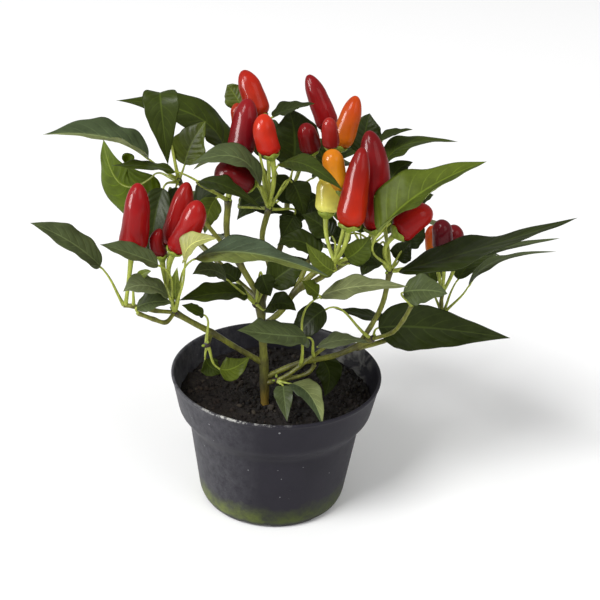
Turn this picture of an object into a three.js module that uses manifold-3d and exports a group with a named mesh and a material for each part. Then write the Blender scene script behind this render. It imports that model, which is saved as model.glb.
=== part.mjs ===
// Potted chilli pepper plant: a bushy ornamental pepper in a round nursery pot.
// Millimetres, +Z up. The origin is the centre of the pot's underside, and -Y is the plant's front.

import * as THREE from 'three';
import { mergeVertices } from 'three/addons/utils/BufferGeometryUtils.js';
import Module from 'manifold-3d';

const wasm = await Module();
wasm.setup();

// ---------------------------------------------------------------- driving dimensions

const POT = {
  height: 81,
  rimRadius: 60.5,
  collarFootRadius: 56,
  collarHeight: 21.5,
  shoulderHeight: 8,
  bodyTopRadius: 50,
  bodyFootRadius: 43.3,
  footRadius: 41,
  wall: 1.5,
  floor: 3,
  recess: 1.8,
  padRadius: 24,
  recessRadius: 36,
  sides: 32,
};
const FOOT_NOTCH = { count: 6, width: 17, height: 1.8, firstAngle: -102 };
const DRAIN_HOLE = { count: 6, radius: 4, ringRadius: 30, firstAngle: -72 };

const SOIL = { surface: 66, crumb: 1.1, rings: 5, sides: 24 };

const GAP = 0.3;            // clearance between pieces that touch
const BLADE_THICKNESS = 0.8;
const STALK_RADIUS = 0.8;   // leaf stalk
const PEDICEL_RADIUS = 1.2; // fruit stalk
const JOINT_RADIUS = 2.3;   // swollen stem joint that a spray grows from
const CALYX_LENGTH = 6;

// ---------------------------------------------------------------- turning shapes into solids

const vec = ([x, y, z]) => new THREE.Vector3(x, y, z);

// A closed mesh with its shared vertices merged, as a solid that can be joined and cut.
function solid(geometry) {
  const bare = geometry.clone();
  bare.deleteAttribute('normal');
  bare.deleteAttribute('uv');
  const merged = mergeVertices(bare, 1e-4);
  const index = merged.index.array;
  const triangles = [];
  for (let i = 0; i < index.length; i += 3) {
    const [a, b, c] = [index[i], index[i + 1], index[i + 2]];
    if (a !== b && b !== c && c !== a) triangles.push(a, b, c);
  }
  return new wasm.Manifold(new wasm.Mesh({
    numProp: 3,
    vertProperties: new Float32Array(merged.attributes.position.array),
    triVerts: new Uint32Array(triangles),
  }));
}

function fuse(solids) {
  return solids.reduce((whole, piece) => whole.add(piece));
}

function meshOf(name, shape, colour, roughness) {
  const data = shape.getMesh();
  const geometry = new THREE.BufferGeometry();
  geometry.setAttribute('position', new THREE.BufferAttribute(data.vertProperties, 3));
  geometry.setIndex(new THREE.BufferAttribute(data.triVerts, 1));
  geometry.computeVertexNormals();
  const material = new THREE.MeshStandardMaterial({ color: colour, roughness, metalness: 0 });
  const mesh = new THREE.Mesh(geometry, material);
  mesh.name = name;
  return mesh;
}

// A profile of [radius, height] pairs turned about Z.
function turned(profile, sides) {
  const points = profile.map(([radius, height]) => new THREE.Vector2(radius, height));
  return new THREE.LatheGeometry(points, sides).rotateX(Math.PI / 2);
}

// A round stem of constant thickness along a smooth path.
function tube(points, radius, sides, stepsPerSpan) {
  const corners = [];
  for (let i = 0; i < sides; i += 1) {
    const angle = (2 * Math.PI * i) / sides;
    corners.push(new THREE.Vector2(radius * Math.cos(angle), radius * Math.sin(angle)));
  }
  const path = new THREE.CatmullRomCurve3(points);
  const steps = stepsPerSpan * (points.length - 1);
  return new THREE.ExtrudeGeometry(new THREE.Shape(corners), {
    steps,
    extrudePath: path,
    bevelEnabled: false,
  });
}

// A stem along a curve, with its radius at each step given by a list.
function taperedTube(path, radii, sides) {
  const steps = radii.length - 1;
  const corners = [];
  for (let i = 0; i < sides; i += 1) {
    const angle = (2 * Math.PI * i) / sides;
    corners.push(new THREE.Vector2(Math.cos(angle), Math.sin(angle)));
  }
  const geometry = new THREE.ExtrudeGeometry(new THREE.Shape(corners), {
    steps,
    extrudePath: path,
    bevelEnabled: false,
  });
  const centres = path.getSpacedPoints(steps);
  const place = geometry.attributes.position;
  const point = new THREE.Vector3();
  for (let i = 0; i < place.count; i += 1) {
    point.fromBufferAttribute(place, i);
    const distances = centres.map((centre) => centre.distanceTo(point));
    const ring = distances.indexOf(Math.min(...distances));
    point.sub(centres[ring]).multiplyScalar(radii[ring]).add(centres[ring]);
    place.setXYZ(i, point.x, point.y, point.z);
  }
  return geometry;
}

function ball(centre, radius) {
  return new THREE.IcosahedronGeometry(radius, 0).translate(centre.x, centre.y, centre.z);
}

// The path with its last point drawn back, so that it ends short of what it carries.
function stoppedShort(points, distance) {
  const path = points.map((point) => point.clone());
  const end = path[path.length - 1];
  const back = path[path.length - 2].clone().sub(end).normalize();
  end.addScaledVector(back, distance);
  return path;
}

// ---------------------------------------------------------------- leaf

// Half width along the blade, 0 at the stalk to 1 at the point: ovate with a drawn-out tip.
const BASE_ROUND = 0.62;
const TIP_TAPER = 1.1;

function bladeOutline(t) {
  const widest = BASE_ROUND / (BASE_ROUND + TIP_TAPER);
  return (t / widest) ** BASE_ROUND * ((1 - t) / (1 - widest)) ** TIP_TAPER;
}

const STALK_STATIONS = [0, 0.5];
const BLADE_STATIONS = [0, 0.07, 0.2, 0.4, 0.62, 0.82];
const SLIM_STATIONS = [0, 0.14, 0.4, 0.72];
const SLIM_WIDTH = 21;
const BASE_HALF_WIDTH = 0.9;
const MARGIN_WAVE = 0.12;

// A leaf as one thin body: a slim stalk from foot to base, then an arched blade whose midrib passes
// through base, mid and tip. The upper side looks along face, both halves rise from the midrib by
// the fold angle, and the margins wave. Every station has a left, a middle and a right line, each
// with an upper and a lower point, so both sides are split into triangles alike.
function leaf(foot, base, mid, tip, width, face, fold) {
  const control = mid.clone().multiplyScalar(2).addScaledVector(base, -0.5).addScaledVector(tip, -0.5);
  const midrib = new THREE.QuadraticBezierCurve3(base, control, tip);
  const into = midrib.getTangent(0);
  const reach = foot.distanceTo(base);
  const stalk = new THREE.CubicBezierCurve3(
    foot,
    foot.clone().lerp(base, 0.4),
    base.clone().addScaledVector(into, -0.4 * reach),
    base,
  );
  const across = tip.clone().sub(base).cross(face).normalize();
  const positions = [];
  const put = (curve, t, u, halfWidth, rise, halfThickness) => {
    const along = curve.getTangent(t);
    const side = across.clone().addScaledVector(along, -across.dot(along)).normalize();
    const normal = side.clone().cross(along);
    const point = curve.getPoint(t).addScaledVector(side, u * halfWidth).addScaledVector(normal, rise);
    const upper = point.clone().addScaledVector(normal, halfThickness);
    const lower = point.addScaledVector(normal, -halfThickness);
    positions.push(upper.x, upper.y, upper.z, lower.x, lower.y, lower.z);
  };
  STALK_STATIONS.forEach((t) => {
    [-1, 0, 1].forEach((u) => put(stalk, t, u, STALK_RADIUS, 0, STALK_RADIUS * (1 - 0.55 * Math.abs(u))));
  });
  const stations = width < SLIM_WIDTH ? SLIM_STATIONS : BLADE_STATIONS;
  stations.forEach((t) => {
    const half = Math.max((width / 2) * bladeOutline(t), BASE_HALF_WIDTH);
    [-1, 0, 1].forEach((u) => {
      const wave = MARGIN_WAVE * half * Math.sin(9 * t + 1.7 * u);
      const rise = Math.abs(u) * (half * Math.sin(fold) + wave);
      put(midrib, t, u, half * Math.cos(fold), rise, BLADE_THICKNESS / 2);
    });
  });
  put(midrib, 1, 0, 0, 0, BLADE_THICKNESS / 2);

  const faces = [];
  const quad = (a, b, c, d) => faces.push(a, b, c, a, c, d);
  const rows = STALK_STATIONS.length + stations.length;
  for (let row = 0; row < rows - 1; row += 1) {
    const a = 6 * row;
    const b = a + 6;
    quad(a, a + 2, b + 2, b);
    quad(a + 2, a + 4, b + 4, b + 2);
    quad(a + 1, b + 1, b + 3, a + 3);
    quad(a + 3, b + 3, b + 5, a + 5);
    quad(a, b, b + 1, a + 1);
    quad(a + 4, a + 5, b + 5, b + 4);
  }
  const end = 6 * (rows - 1);
  const last = 6 * rows;
  faces.push(end, end + 2, last, end + 2, end + 4, last);
  faces.push(end + 1, last + 1, end + 3, end + 3, last + 1, end + 5);
  quad(end, last, last + 1, end + 1);
  quad(end + 4, end + 5, last + 1, last);
  quad(0, 1, 3, 2);
  quad(2, 3, 5, 4);
  const geometry = new THREE.BufferGeometry();
  geometry.setAttribute('position', new THREE.BufferAttribute(new Float32Array(positions), 3));
  geometry.setIndex(faces);
  return geometry;
}

// ---------------------------------------------------------------- chilli fruit

// Radius along a fruit, 0 at the calyx to 1 at the tip, as a share of the widest radius.
// Waist above 0 narrows the fruit towards its tip, and below 0 towards its calyx.
const FRUIT_STATIONS = [0, 0.06, 0.18, 0.4, 0.65, 0.85, 0.96];
const CAP_START = 0.62;
const SHOULDER_END = 0.2;

function fruitRadius(t, waist) {
  const rise = 1 - Math.min(t / SHOULDER_END, 1);
  const shoulder = Math.sqrt(1 - 0.82 * rise * rise);
  const fall = Math.max(t - CAP_START, 0) / (1 - CAP_START);
  const cap = Math.sqrt(1 - fall * fall);
  const slope = 1 - Math.max(waist, 0) * t + Math.min(waist, 0) * (1 - t);
  return shoulder * cap * slope;
}

// A turned fruit whose axis bows sideways by bow at its middle, standing on base towards tip.
function fruit(base, tip, radius, waist, bow) {
  const axis = tip.clone().sub(base);
  const length = axis.length();
  const profile = FRUIT_STATIONS.map((t) => [radius * fruitRadius(t, waist), length * t]);
  const geometry = turned([[0, 0], ...profile, [0, length]], 8);
  const place = geometry.attributes.position;
  for (let i = 0; i < place.count; i += 1) {
    const t = place.getZ(i) / length;
    place.setX(i, place.getX(i) + bow * 4 * t * (1 - t));
  }
  const turn = new THREE.Quaternion().setFromUnitVectors(vec([0, 0, 1]), axis.normalize());
  return geometry.applyQuaternion(turn).translate(base.x, base.y, base.z);
}

// ---------------------------------------------------------------- pot and soil

function makePot() {
  const { height, rimRadius, collarFootRadius, collarHeight, shoulderHeight, bodyTopRadius } = POT;
  const { bodyFootRadius, footRadius, wall, floor, recess, padRadius, recessRadius, sides } = POT;
  const collarFoot = height - collarHeight;
  const bodyTop = collarFoot - shoulderHeight;
  const profile = [
    [0, 0], [padRadius, 0], [padRadius + 1, recess], [recessRadius, recess], [recessRadius + 1, 0],
    [footRadius, 0], [bodyFootRadius, 5], [bodyTopRadius, bodyTop], [collarFootRadius, collarFoot],
    [rimRadius - 0.6, height - 2.4], [rimRadius, height - 1.6], [rimRadius, height],
    [rimRadius - wall - 0.2, height],
    [collarFootRadius - wall, collarFoot + 0.4], [bodyTopRadius - wall, bodyTop + 0.6],
    [bodyFootRadius - wall, 8], [footRadius - wall, floor], [0, floor],
  ];
  let pot = solid(turned(profile, sides));
  for (let i = 0; i < FOOT_NOTCH.count; i += 1) {
    const angle = THREE.MathUtils.degToRad(FOOT_NOTCH.firstAngle + (360 / FOOT_NOTCH.count) * i);
    const notch = new THREE.BoxGeometry(12, FOOT_NOTCH.width, 2 * FOOT_NOTCH.height)
      .translate(footRadius, 0, 0)
      .rotateZ(angle);
    pot = pot.subtract(solid(notch));
  }
  for (let i = 0; i < DRAIN_HOLE.count; i += 1) {
    const angle = THREE.MathUtils.degToRad(DRAIN_HOLE.firstAngle + (360 / DRAIN_HOLE.count) * i);
    const hole = new THREE.CylinderGeometry(DRAIN_HOLE.radius, DRAIN_HOLE.radius, 3 * floor, 12)
      .rotateX(Math.PI / 2)
      .translate(DRAIN_HOLE.ringRadius * Math.cos(angle), DRAIN_HOLE.ringRadius * Math.sin(angle), 0);
    pot = pot.subtract(solid(hole));
  }
  return pot;
}

// Crumbly surface height at a place, as the sum of a few crossed ripples and a low mound.
function soilHeight(x, y) {
  const ripples = Math.sin(0.31 * x + 1.3) * Math.cos(0.27 * y) + 0.6 * Math.sin(0.55 * y - 0.2 * x);
  const mound = 1.5 - (x * x + y * y) / 1800;
  return SOIL.surface + SOIL.crumb * 0.6 * ripples + mound;
}

function makeSoil(trunk) {
  const { height, rimRadius, collarFootRadius, collarHeight, shoulderHeight, bodyTopRadius } = POT;
  const { bodyFootRadius, footRadius, wall, floor } = POT;
  const collarFoot = height - collarHeight;
  const bodyTop = collarFoot - shoulderHeight;
  const clear = wall + GAP + 0.4;
  const climb = (SOIL.surface - collarFoot) / collarHeight;
  const edge = collarFootRadius + (rimRadius - collarFootRadius) * climb - clear - 0.4;
  const profile = [
    [0, floor + GAP], [footRadius - clear, floor + GAP], [bodyFootRadius - clear, 8 + GAP],
    [bodyTopRadius - clear, bodyTop + 0.9], [collarFootRadius - clear, collarFoot + 0.9],
    [edge, SOIL.surface],
  ];
  for (let ring = SOIL.rings - 1; ring >= 0; ring -= 1) {
    profile.push([(edge * ring) / SOIL.rings, SOIL.surface]);
  }
  const geometry = turned(profile, SOIL.sides);
  const place = geometry.attributes.position;
  for (let i = 0; i < place.count; i += 1) {
    if (Math.abs(place.getZ(i) - SOIL.surface) < 1e-6) {
      place.setZ(i, soilHeight(place.getX(i), place.getY(i)));
    }
  }
  return solid(geometry).subtract(trunk);
}

// ---------------------------------------------------------------- trunk and main branches

// Each path runs from the trunk, or from the branch that carries it, to the joint of a spray.
const TRUNK = { radius: 2.3, path: [[-6, -14, 50], [-6, -14, 66], [-8, -14, 103], [-11, -12, 134]] };
const BRANCHES = {
  left: {
    radius: 1.6,
    path: [[-8, -14, 93], [-24, -20, 106], [-35, -27, 117], [-47, -33, 127], [-55, -37, 134]],
  },
  low_right: { radius: 1.6, path: [[-6, -14, 84], [13, -14, 94], [33, -14, 100], [52, -14, 111]] },
  far_right: { radius: 1.4, path: [[44, -14, 105], [55, -6, 104], [76, 6, 107], [94, 14, 114]] },
  right: { radius: 1.5, path: [[44, -14, 105], [53, -6, 118], [57, -8, 131], [59, -10, 151]] },
  top_left: { radius: 1.7, path: [[-11, -12, 133], [-23, -5, 150], [-30, 0, 163], [-30, 0, 184]] },
  upper_left: { radius: 1.3, path: [[-23, -5, 150], [-35, 1, 161], [-46, 4, 174], [-57, 5, 192]] },
  top: { radius: 1.6, path: [[-11, -12, 134], [-6, -8, 147], [-11, -2, 163], [-8, -4, 182]] },
  front_right: {
    radius: 1.7,
    path: [[-9, -14, 116], [1, -20, 129], [8, -24, 143], [19, -27, 157], [28, -28, 162]],
  },
  top_right: { radius: 1.4, path: [[8, -24, 143], [16, -12, 160], [22, -2, 174], [25, 4, 186]] },
  back: { radius: 1.6, path: [[-10, -12, 128], [-4, 8, 142], [1, 30, 156], [2, 49, 171]] },
  back_left: { radius: 1.5, path: [[-10, -12, 130], [-26, 3, 137], [-42, 17, 146], [-55, 29, 153]] },
  back_right: { radius: 1.5, path: [[8, -24, 143], [22, -5, 143], [36, 16, 143], [48, 36, 143]] },
  centre: { radius: 1.4, path: [[-10, -13, 126], [-13, -17, 131]] },
  low_front: { radius: 1.4, path: [[-6, -14, 80], [-3, -16, 82], [0, -18.5, 84.5]] },
  low_left: { radius: 1.2, path: [[-36, -27, 118], [-37, -31, 116], [-38, -34, 114]] },
};

function makeTrunk() {
  const pieces = [solid(tube(TRUNK.path.map(vec), TRUNK.radius, 7, 2))];
  Object.values(BRANCHES).forEach(({ radius, path }) => {
    const points = path.map(vec);
    pieces.push(solid(tube(stoppedShort(points, JOINT_RADIUS + GAP), radius, 5, 1)));
  });
  return fuse(pieces);
}

// ---------------------------------------------------------------- sprays

// A leaf is [blade base, middle of midrib, tip, width, way its upper side faces, fold, stalk foot].
// A pod is [calyx, tip, widest radius, waist, bow, colour, stalk foot].
// A leaf or pod with no foot of its own grows from the spray's joint.
const RED = 0xb3211f;
const ORANGE = 0xe0601c;
const YELLOW = 0xe9a024;
const LIME = 0xe3d95a;
const DARK_RED = 0x7d1520;

const SPRAYS = {
  left: {
    stems: [[[-55, -37, 134], [-65, -40, 136], [-76, -42, 139], [-81, -42, 139.5]],
      [[-55, -37, 134], [-59, -43, 131], [-65, -46, 134], [-73, -46, 137]]],
    leaves: [
      [[-92, -46, 163], [-106, -52, 178.5], [-123, -60, 191], 19, [0, -0.5, 1], 0.3, [-81, -42, 139.5]],
      [[-74, -43, 154], [-70, -44, 159], [-66, -45, 161], 5, [0, -1, 0.6], 0.2, [-76, -42, 139]],
      [[-54, -40, 143], [-54, -42, 153], [-53, -43, 163], 7, [-0.3, -1, 0.3], 0.3],
      [[-62, -52, 168], [-75, -58, 176], [-89, -62, 182], 15, [0, -0.4, 1], 0.3],
      [[-58, -44, 147], [-69, -50, 155], [-79, -56, 154], 20, [0, -0.3, 1], 0.2],
      [[-73, -49, 142], [-64, -50, 146], [-55, -51, 146], 13, [0, -0.5, 1], 0.2, [-73, -46, 137]],
      [[-48, -57, 173], [-44, -59, 183], [-32, -60, 187], 16, [-1, -0.6, 0.9], 0.25],
      [[-43, -46, 170], [-15, -56, 178], [24, -64, 171], 28, [0, -0.05, 1], 0.15],
    ],
    pods: {
      chilli_01: [[-77, -42, 163], [-73, -38, 206], 7.8, 0.25, 0.6, RED, [-80, -42, 139.5]],
      chilli_02: [[-59, -28, 161], [-50, -20, 201], 7.2, 0.3, 0, RED],
      chilli_03: [[-57, -42, 166], [-42, -44, 200], 6.4, 0, 1.5, RED],
      chilli_04: [[-61, -38, 160], [-63, -36, 181], 4.2, 0.2, -2, DARK_RED],
    },
  },
  upper_left: {
    stems: [],
    leaves: [
      [[-73, 2, 205], [-94, -5, 217.5], [-125, -12, 220], 29, [0, -0.15, 1], 0.4],
      [[-72, 14, 191], [-90, 18, 184], [-100, 24, 207], 39, [0, 1, 0.3], 0.1],
      [[-67, 8, 239], [-65, -4, 233], [-62, -2, 203], 20, [0.1, -1, 0.6], 0.25],
      [[-54, 6, 201], [-50, 8, 213], [-43, 8, 225], 21, [-0.4, -1, 0.4], 0.15],
      [[-64, -8, 192], [-68, -15, 175], [-69, -16, 153], 17, [-0.2, -1, 0.1], 0.25],
      [[-58, 0, 190], [-59, -2, 172], [-57, -4, 153], 18, [0.3, -1, 0.1], 0.25],
    ],
    pods: {},
  },
  top_left: {
    stems: [],
    leaves: [
      [[-33, 20, 202], [-50, 25, 222], [-91, 14, 232], 30, [0.3, -0.45, 1], 0.1],
      [[-43, -23, 203], [-29, -31, 203], [-11, -33, 193], 16, [0.3, -0.2, 1], 0.1],
      [[-59, -2, 200], [-73, -8, 204], [-90, -12, 205], 15, [0.2, 0, 1], 0.1],
      [[-37, 7, 182], [-41, 9, 173], [-43, 9, 160], 14, [-0.2, -1, 0], 0.25],
    ],
    pods: {
      chilli_05: [[-25, 3, 202], [-21, 10, 238], 7.9, 0.25, 0, DARK_RED],
    },
  },
  top: {
    stems: [],
    leaves: [
      [[-24, 34, 224], [-30, 38, 232], [-34, 40, 236], 14, [-0.3, -1, 0.3], 0.2],
      [[-8, 12, 228], [2, 14, 232], [14, 12, 236], 16, [0, -0.1, 1], 0.2],
      [[4, 12, 200], [4, 16, 217], [0, 18, 231], 30, [0.2, -1, 0.5], 0.15],
      [[-2, -16, 212], [11, -30, 216], [29, -41, 208], 15, [0.1, -0.4, 1], 0.1],
      [[4, 2, 195], [8, -1, 188], [11, -4, 178], 16, [0.4, -1, 0.6], 0.2],
      [[-7, 20, 190], [1, 22, 182], [8, 24, 174], 15, [0, -1, 0.6], 0.15],
      [[-23, 9, 177], [-4, 7, 176.5], [15, 5, 172], 15, [0.2, 0, 1], 0.1],
      [[6, 4, 176], [3, 3, 170], [-1, 0, 163], 14, [0.3, -1, 0.5], 0.2],
      [[-13, -13, 198], [-26, -16, 214], [-49, -22, 210.5], 19, [0.1, -0.5, 1], 0.25],
    ],
    pods: {
      chilli_06: [[-12, -6, 195.5], [-36, -15, 206], 8.2, 0, 0, RED],
      chilli_07: [[-13, 18, 219], [-25, 28, 248], 7.2, 0.25, 0.6, ORANGE],
      chilli_08: [[-24, 24, 211], [-28, 27, 230], 4.6, 0.2, 0, ORANGE],
      chilli_09: [[-6, -11, 208], [-13, -7, 235], 6.2, 0.1, -1, RED],
    },
  },
  top_right: {
    stems: [],
    leaves: [
      [[42, 26, 205], [43, 31, 216], [45, 36, 225], 21, [0, -1, 0.4], 0.25],
      [[49, 20, 214], [59, 21, 219], [68, 23, 221], 10, [0, 0, 1], 0.3],
      [[22, 22, 196], [18, 34, 204], [12, 46, 206], 24, [0, 0.2, 1], 0.2],
      [[30, 40, 196], [41, 54, 203], [50, 68, 196], 24, [0, 0.2, 1], 0.2],
      [[19, 10, 184], [12, 13, 177], [10, 15, 167], 15, [0, -1, 0.5], 0.2],
    ],
    pods: {
      chilli_10: [[26, 32, 210], [10, 40, 244], 6.8, 0.3, 0.4, RED],
      chilli_11: [[15, 6, 206], [9, 2, 228], 6, 0.2, 0, DARK_RED],
      chilli_12: [[24, -3, 212], [21, -9, 235], 4.8, 0.2, 0, RED],
      chilli_13: [[26, 10, 207], [36, 17, 240], 6.9, 0.3, 0.6, ORANGE],
    },
  },
  front_right: {
    stems: [],
    leaves: [
      [[34, -31, 167], [40, -33, 173], [45, -33, 181], 16, [0.4, -1, 0.5], 0.2],
      [[27, -37, 162], [20, -38, 167], [12, -36, 177], 12, [0.6, -1, 0.7], 0.1],
      [[36, -22, 160], [44, -18, 160], [52, -17, 157], 13, [0, -0.4, 1], 0.2],
      [[20, -20, 164], [8, -14, 168], [-3, -12, 164], 18, [0, -0.4, 1], 0.2],
      [[26, -14, 172], [19, -10, 177], [10, -8, 181], 16, [0, -1, 0.7], 0.2],
    ],
    pods: {
      chilli_14: [[31, -24, 195], [22, -20, 222], 6.6, -0.45, 0, YELLOW],
      chilli_15: [[33, -38, 181], [38, -29, 227], 8.3, 0.4, 0, RED],
      chilli_16: [[49, -21, 173], [42, -10, 230], 8.4, 0.15, 1.6, RED],
      chilli_17: [[22, -17, 179], [24, -9, 204], 7.4, -0.15, 0, LIME],
    },
  },
  right: {
    stems: [],
    leaves: [
      [[49, -38, 185], [69, -33, 205.5], [102, -22, 220], 34, [-0.5, -0.35, 1], 0.36],
      [[64, -12, 152], [105, -16, 169], [156, -10, 187], 34, [-0.4, 0.05, 1], 0.08],
      [[84, 2, 152.5], [122, 4, 162], [152, 4, 169], 10, [-0.3, -0.1, 1], 0.1],
      [[54, 17, 202], [66, 21, 213], [94, 28, 213.5], 18, [0, -0.1, 1], 0.2],
      [[57, 14, 192], [62, 20, 199], [70, 24, 202], 13, [0, -0.5, 1], 0.2],
      [[67, -4, 164], [71, -1, 171], [72, 1, 180], 15, [0.3, -1, 0.3], 0.2],
      [[64, -4, 155], [66, -6, 162], [70, -7, 168], 13, [-0.3, -1, 0.3], 0.2],
      [[53, -8, 166], [48, -10, 157], [44, -9, 147], 14, [0.2, -1, 0.3], 0.2],
      [[37, 0, 168], [31, 0, 166], [26, 2, 162], 12, [-0.2, -1, 0.5], 0.2],
    ],
    pods: {
      chilli_18: [[55, -24, 175], [77, -17, 191.5], 7.7, 0.1, -1, RED],
    },
  },
  far_right: {
    stems: [[[94, 14, 114], [93, 16, 120], [93, 17, 126]]],
    leaves: [
      [[108, 18, 132], [123, 18, 148], [155, 18, 155], 13, [-0.5, 0.1, 1], 0.1],
      [[69, 14, 108], [52, 12, 112], [31, 10, 117], 16, [0.2, 0, 1], 0.1, [93.5, 15.8, 114.6]],
      [[104, 34, 128], [117, 46, 137], [132, 57, 134], 22, [0, 0, 1], 0.2],
      [[88, 30, 126], [86, 46, 130], [84, 62, 124], 22, [0, 0.2, 1], 0.2],
    ],
    pods: {
      chilli_19: [[89, 24, 142], [84, 24, 165], 5.4, 0.2, 0, ORANGE, [93, 17, 126]],
      chilli_20: [[91, 11, 150], [87, 11, 174], 6, 0.1, 0, DARK_RED, [93, 17, 126]],
      chilli_21: [[100, 24, 143], [96, 24, 166], 6, 0.15, 0, DARK_RED, [93, 17, 126]],
    },
  },
  low_right: {
    stems: [[[52, -14, 111], [62, -24, 121], [66, -33, 133], [69, -39, 145]]],
    leaves: [
      [[56, -6, 114], [83, -1, 113], [133, 4, 106], 29, [0.1, -1, 0.5], 0.3],
      [[64, -40, 153], [75, -43, 156], [86, -46, 156], 20, [-0.3, -0.5, 1], 0.1, [69, -39, 145]],
      [[25, -14, 128], [16, -16, 120], [10, -15, 107], 18, [-0.6, -1, 0.5], 0.2],
    ],
    pods: {},
  },
  low_left: {
    stems: [],
    leaves: [
      [[-39, -29, 102], [-36, -27, 96], [-29, -27, 93], 12, [0, -1, 0.5], 0.3],
      [[-31, -30, 97], [-24, -27, 96], [-15, -22, 101], 14, [0, -1, 0.6], 0.2],
      [[-40, -36, 133], [-45, -39, 137], [-51, -42, 141], 8, [0, -0.6, 1], 0.2],
    ],
    pods: {},
  },
  low_front: {
    stems: [
      [[0, -18.5, 84.5], [6, -20, 89], [13, -21, 96], [27, -25, 112]],
      [[0, -18.5, 84.5], [9, -19, 87], [18, -19, 91], [21, -19, 96]],
    ],
    leaves: [
      [[22, -29, 113], [36, -30, 118], [50, -26, 115], 15, [0, 0, 1], 0.15, [27, -25, 112]],
      [[15, -36, 122], [-3, -50, 130], [-21, -58, 136], 26, [0, -0.25, 1], 0.15, [20, -23, 104]],
      [[25, -9, 94], [30, -8, 84], [28, -12, 71.5], 16, [0.2, -1, 0.3], 0.2, [18, -19, 91]],
      [[4, -24, 84], [5, -32, 81], [7, -43, 73], 12, [-0.2, -0.6, 1], 0.35],
      [[9, -26, 87], [19, -38, 87], [26, -50, 76], 15, [0.2, -0.5, 1], 0.3],
      [[22, -36, 147], [41, -42, 156], [65, -48, 160], 20, [-0.3, -0.1, 1], 0.1, [13, -21, 96]],
      [[20, -37, 148], [16, -38, 152], [11, -38, 156], 12, [0.9, -0.7, 1], 0.1, [22, -36, 146]],
    ],
    pods: {},
  },
  centre: {
    stems: [],
    leaves: [
      [[-18, -20, 138], [-34, -27, 141], [-53, -35, 140], 20, [0, -0.2, 1], 0.2],
      [[-6, -14, 142], [4, -12, 150], [14, -10, 156], 20, [-0.2, -0.8, 0.6], 0.2],
      [[-7, -25, 132], [1, -31, 139], [9, -33, 136], 15, [0, -0.5, 1], 0.2],
      [[-24, -8, 140], [-32, -2, 142], [-42, 4, 138], 16, [0, -0.3, 1], 0.2],
      [[-29, -28, 151], [-37, -32, 157], [-46, -36, 156], 15, [0, -0.4, 1], 0.2],
      [[-10, -20, 150], [-8, -20, 144], [-5, -19, 137], 12, [0.3, -1, 0.2], 0.2],
    ],
    pods: {},
  },
  back: {
    stems: [],
    leaves: [
      [[4, 62, 180], [6, 84, 188], [8, 108, 178], 26, [0, 0.3, 1], 0.2],
      [[-12, 58, 176], [-34, 72, 182], [-56, 84, 170], 25, [0, 0.3, 1], 0.2],
      [[16, 58, 178], [38, 68, 184], [60, 78, 172], 25, [0, 0.3, 1], 0.2],
      [[-8, 46, 192], [-12, 52, 206], [-14, 64, 210], 22, [0, -1, 0.6], 0.2],
      [[8, 66, 160], [14, 84, 152], [18, 98, 138], 24, [0, 0.8, 0.8], 0.2],
      [[-10, 60, 158], [-18, 74, 152], [-26, 90, 140], 24, [-0.2, 0.8, 0.8], 0.2],
      [[-8, 40, 174], [-16, 28, 174], [-26, 19, 165], 18, [0, -0.6, 1], 0.2],
    ],
    pods: {
      chilli_22: [[8, 58, 180], [10, 58, 206], 6.2, 0.2, 0, RED],
    },
  },
  back_left: {
    stems: [],
    leaves: [
      [[-64, 36, 160], [-78, 48, 166], [-94, 60, 154], 24, [0, 0.2, 1], 0.2],
      [[-54, 40, 158], [-56, 60, 164], [-58, 82, 152], 26, [0, 0.2, 1], 0.2],
      [[-48, 42, 142], [-42, 58, 138], [-38, 76, 128], 24, [0, 0.6, 1], 0.2],
      [[-46, 32, 168], [-38, 42, 176], [-32, 52, 176], 20, [0, 0.2, 1], 0.2],
      [[-50, 28, 168], [-42, 28, 176], [-33, 27, 178], 18, [0, -0.6, 1], 0.2],
    ],
    pods: {
      chilli_23: [[-67, 20, 148], [-66, 20, 174], 6, 0.2, 0, ORANGE],
    },
  },
  back_right: {
    stems: [],
    leaves: [
      [[60, 44, 150], [78, 54, 156], [98, 64, 144], 24, [0, 0.2, 1], 0.2],
      [[46, 50, 148], [46, 70, 152], [44, 92, 138], 26, [0, 0.2, 1], 0.2],
      [[62, 38, 160], [74, 40, 172], [86, 44, 176], 20, [0.2, -0.3, 1], 0.2],
      [[38, 48, 132], [28, 62, 132], [18, 78, 124], 22, [0, 0.6, 1], 0.2],
      [[38, 44, 156], [30, 54, 160], [22, 64, 156], 20, [0, 0.2, 1], 0.2],
    ],
    pods: {
      chilli_24: [[54, 46, 158], [58, 48, 190], 6.4, 0.2, 0, RED],
    },
  },
};

// A pod's stalk turns into line with the fruit and widens at its end into the green calyx.
function podParts(joint, [calyxRow, tipRow, radius, waist, bow, , footRow]) {
  const seat = vec(calyxRow);
  const start = footRow ? vec(footRow) : leavingJoint(joint, seat);
  const tip = vec(tipRow);
  const direction = tip.clone().sub(seat).normalize();
  const brim = seat.clone().addScaledVector(direction, CALYX_LENGTH);
  const reach = start.distanceTo(brim);
  const path = new THREE.CubicBezierCurve3(
    start,
    start.clone().lerp(seat, 0.3),
    brim.clone().addScaledVector(direction, -0.5 * reach),
    brim,
  );
  const seatRadius = 0.4 * radius * (1 + Math.min(waist, 0)) + 0.6;
  const radii = [1, 1, 1, 1, 1.35, seatRadius].map((share) => share * PEDICEL_RADIUS);
  const base = brim.clone().addScaledVector(direction, GAP);
  return {
    green: solid(taperedTube(path, radii, 5)),
    fruit: solid(fruit(base, tip, radius, waist, bow)),
  };
}

// Stalks leave a joint from just inside its surface, so that they meet it and not each other.
function leavingJoint(joint, towards) {
  return joint.clone().addScaledVector(towards.clone().sub(joint).normalize(), 0.5 * JOINT_RADIUS);
}

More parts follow.
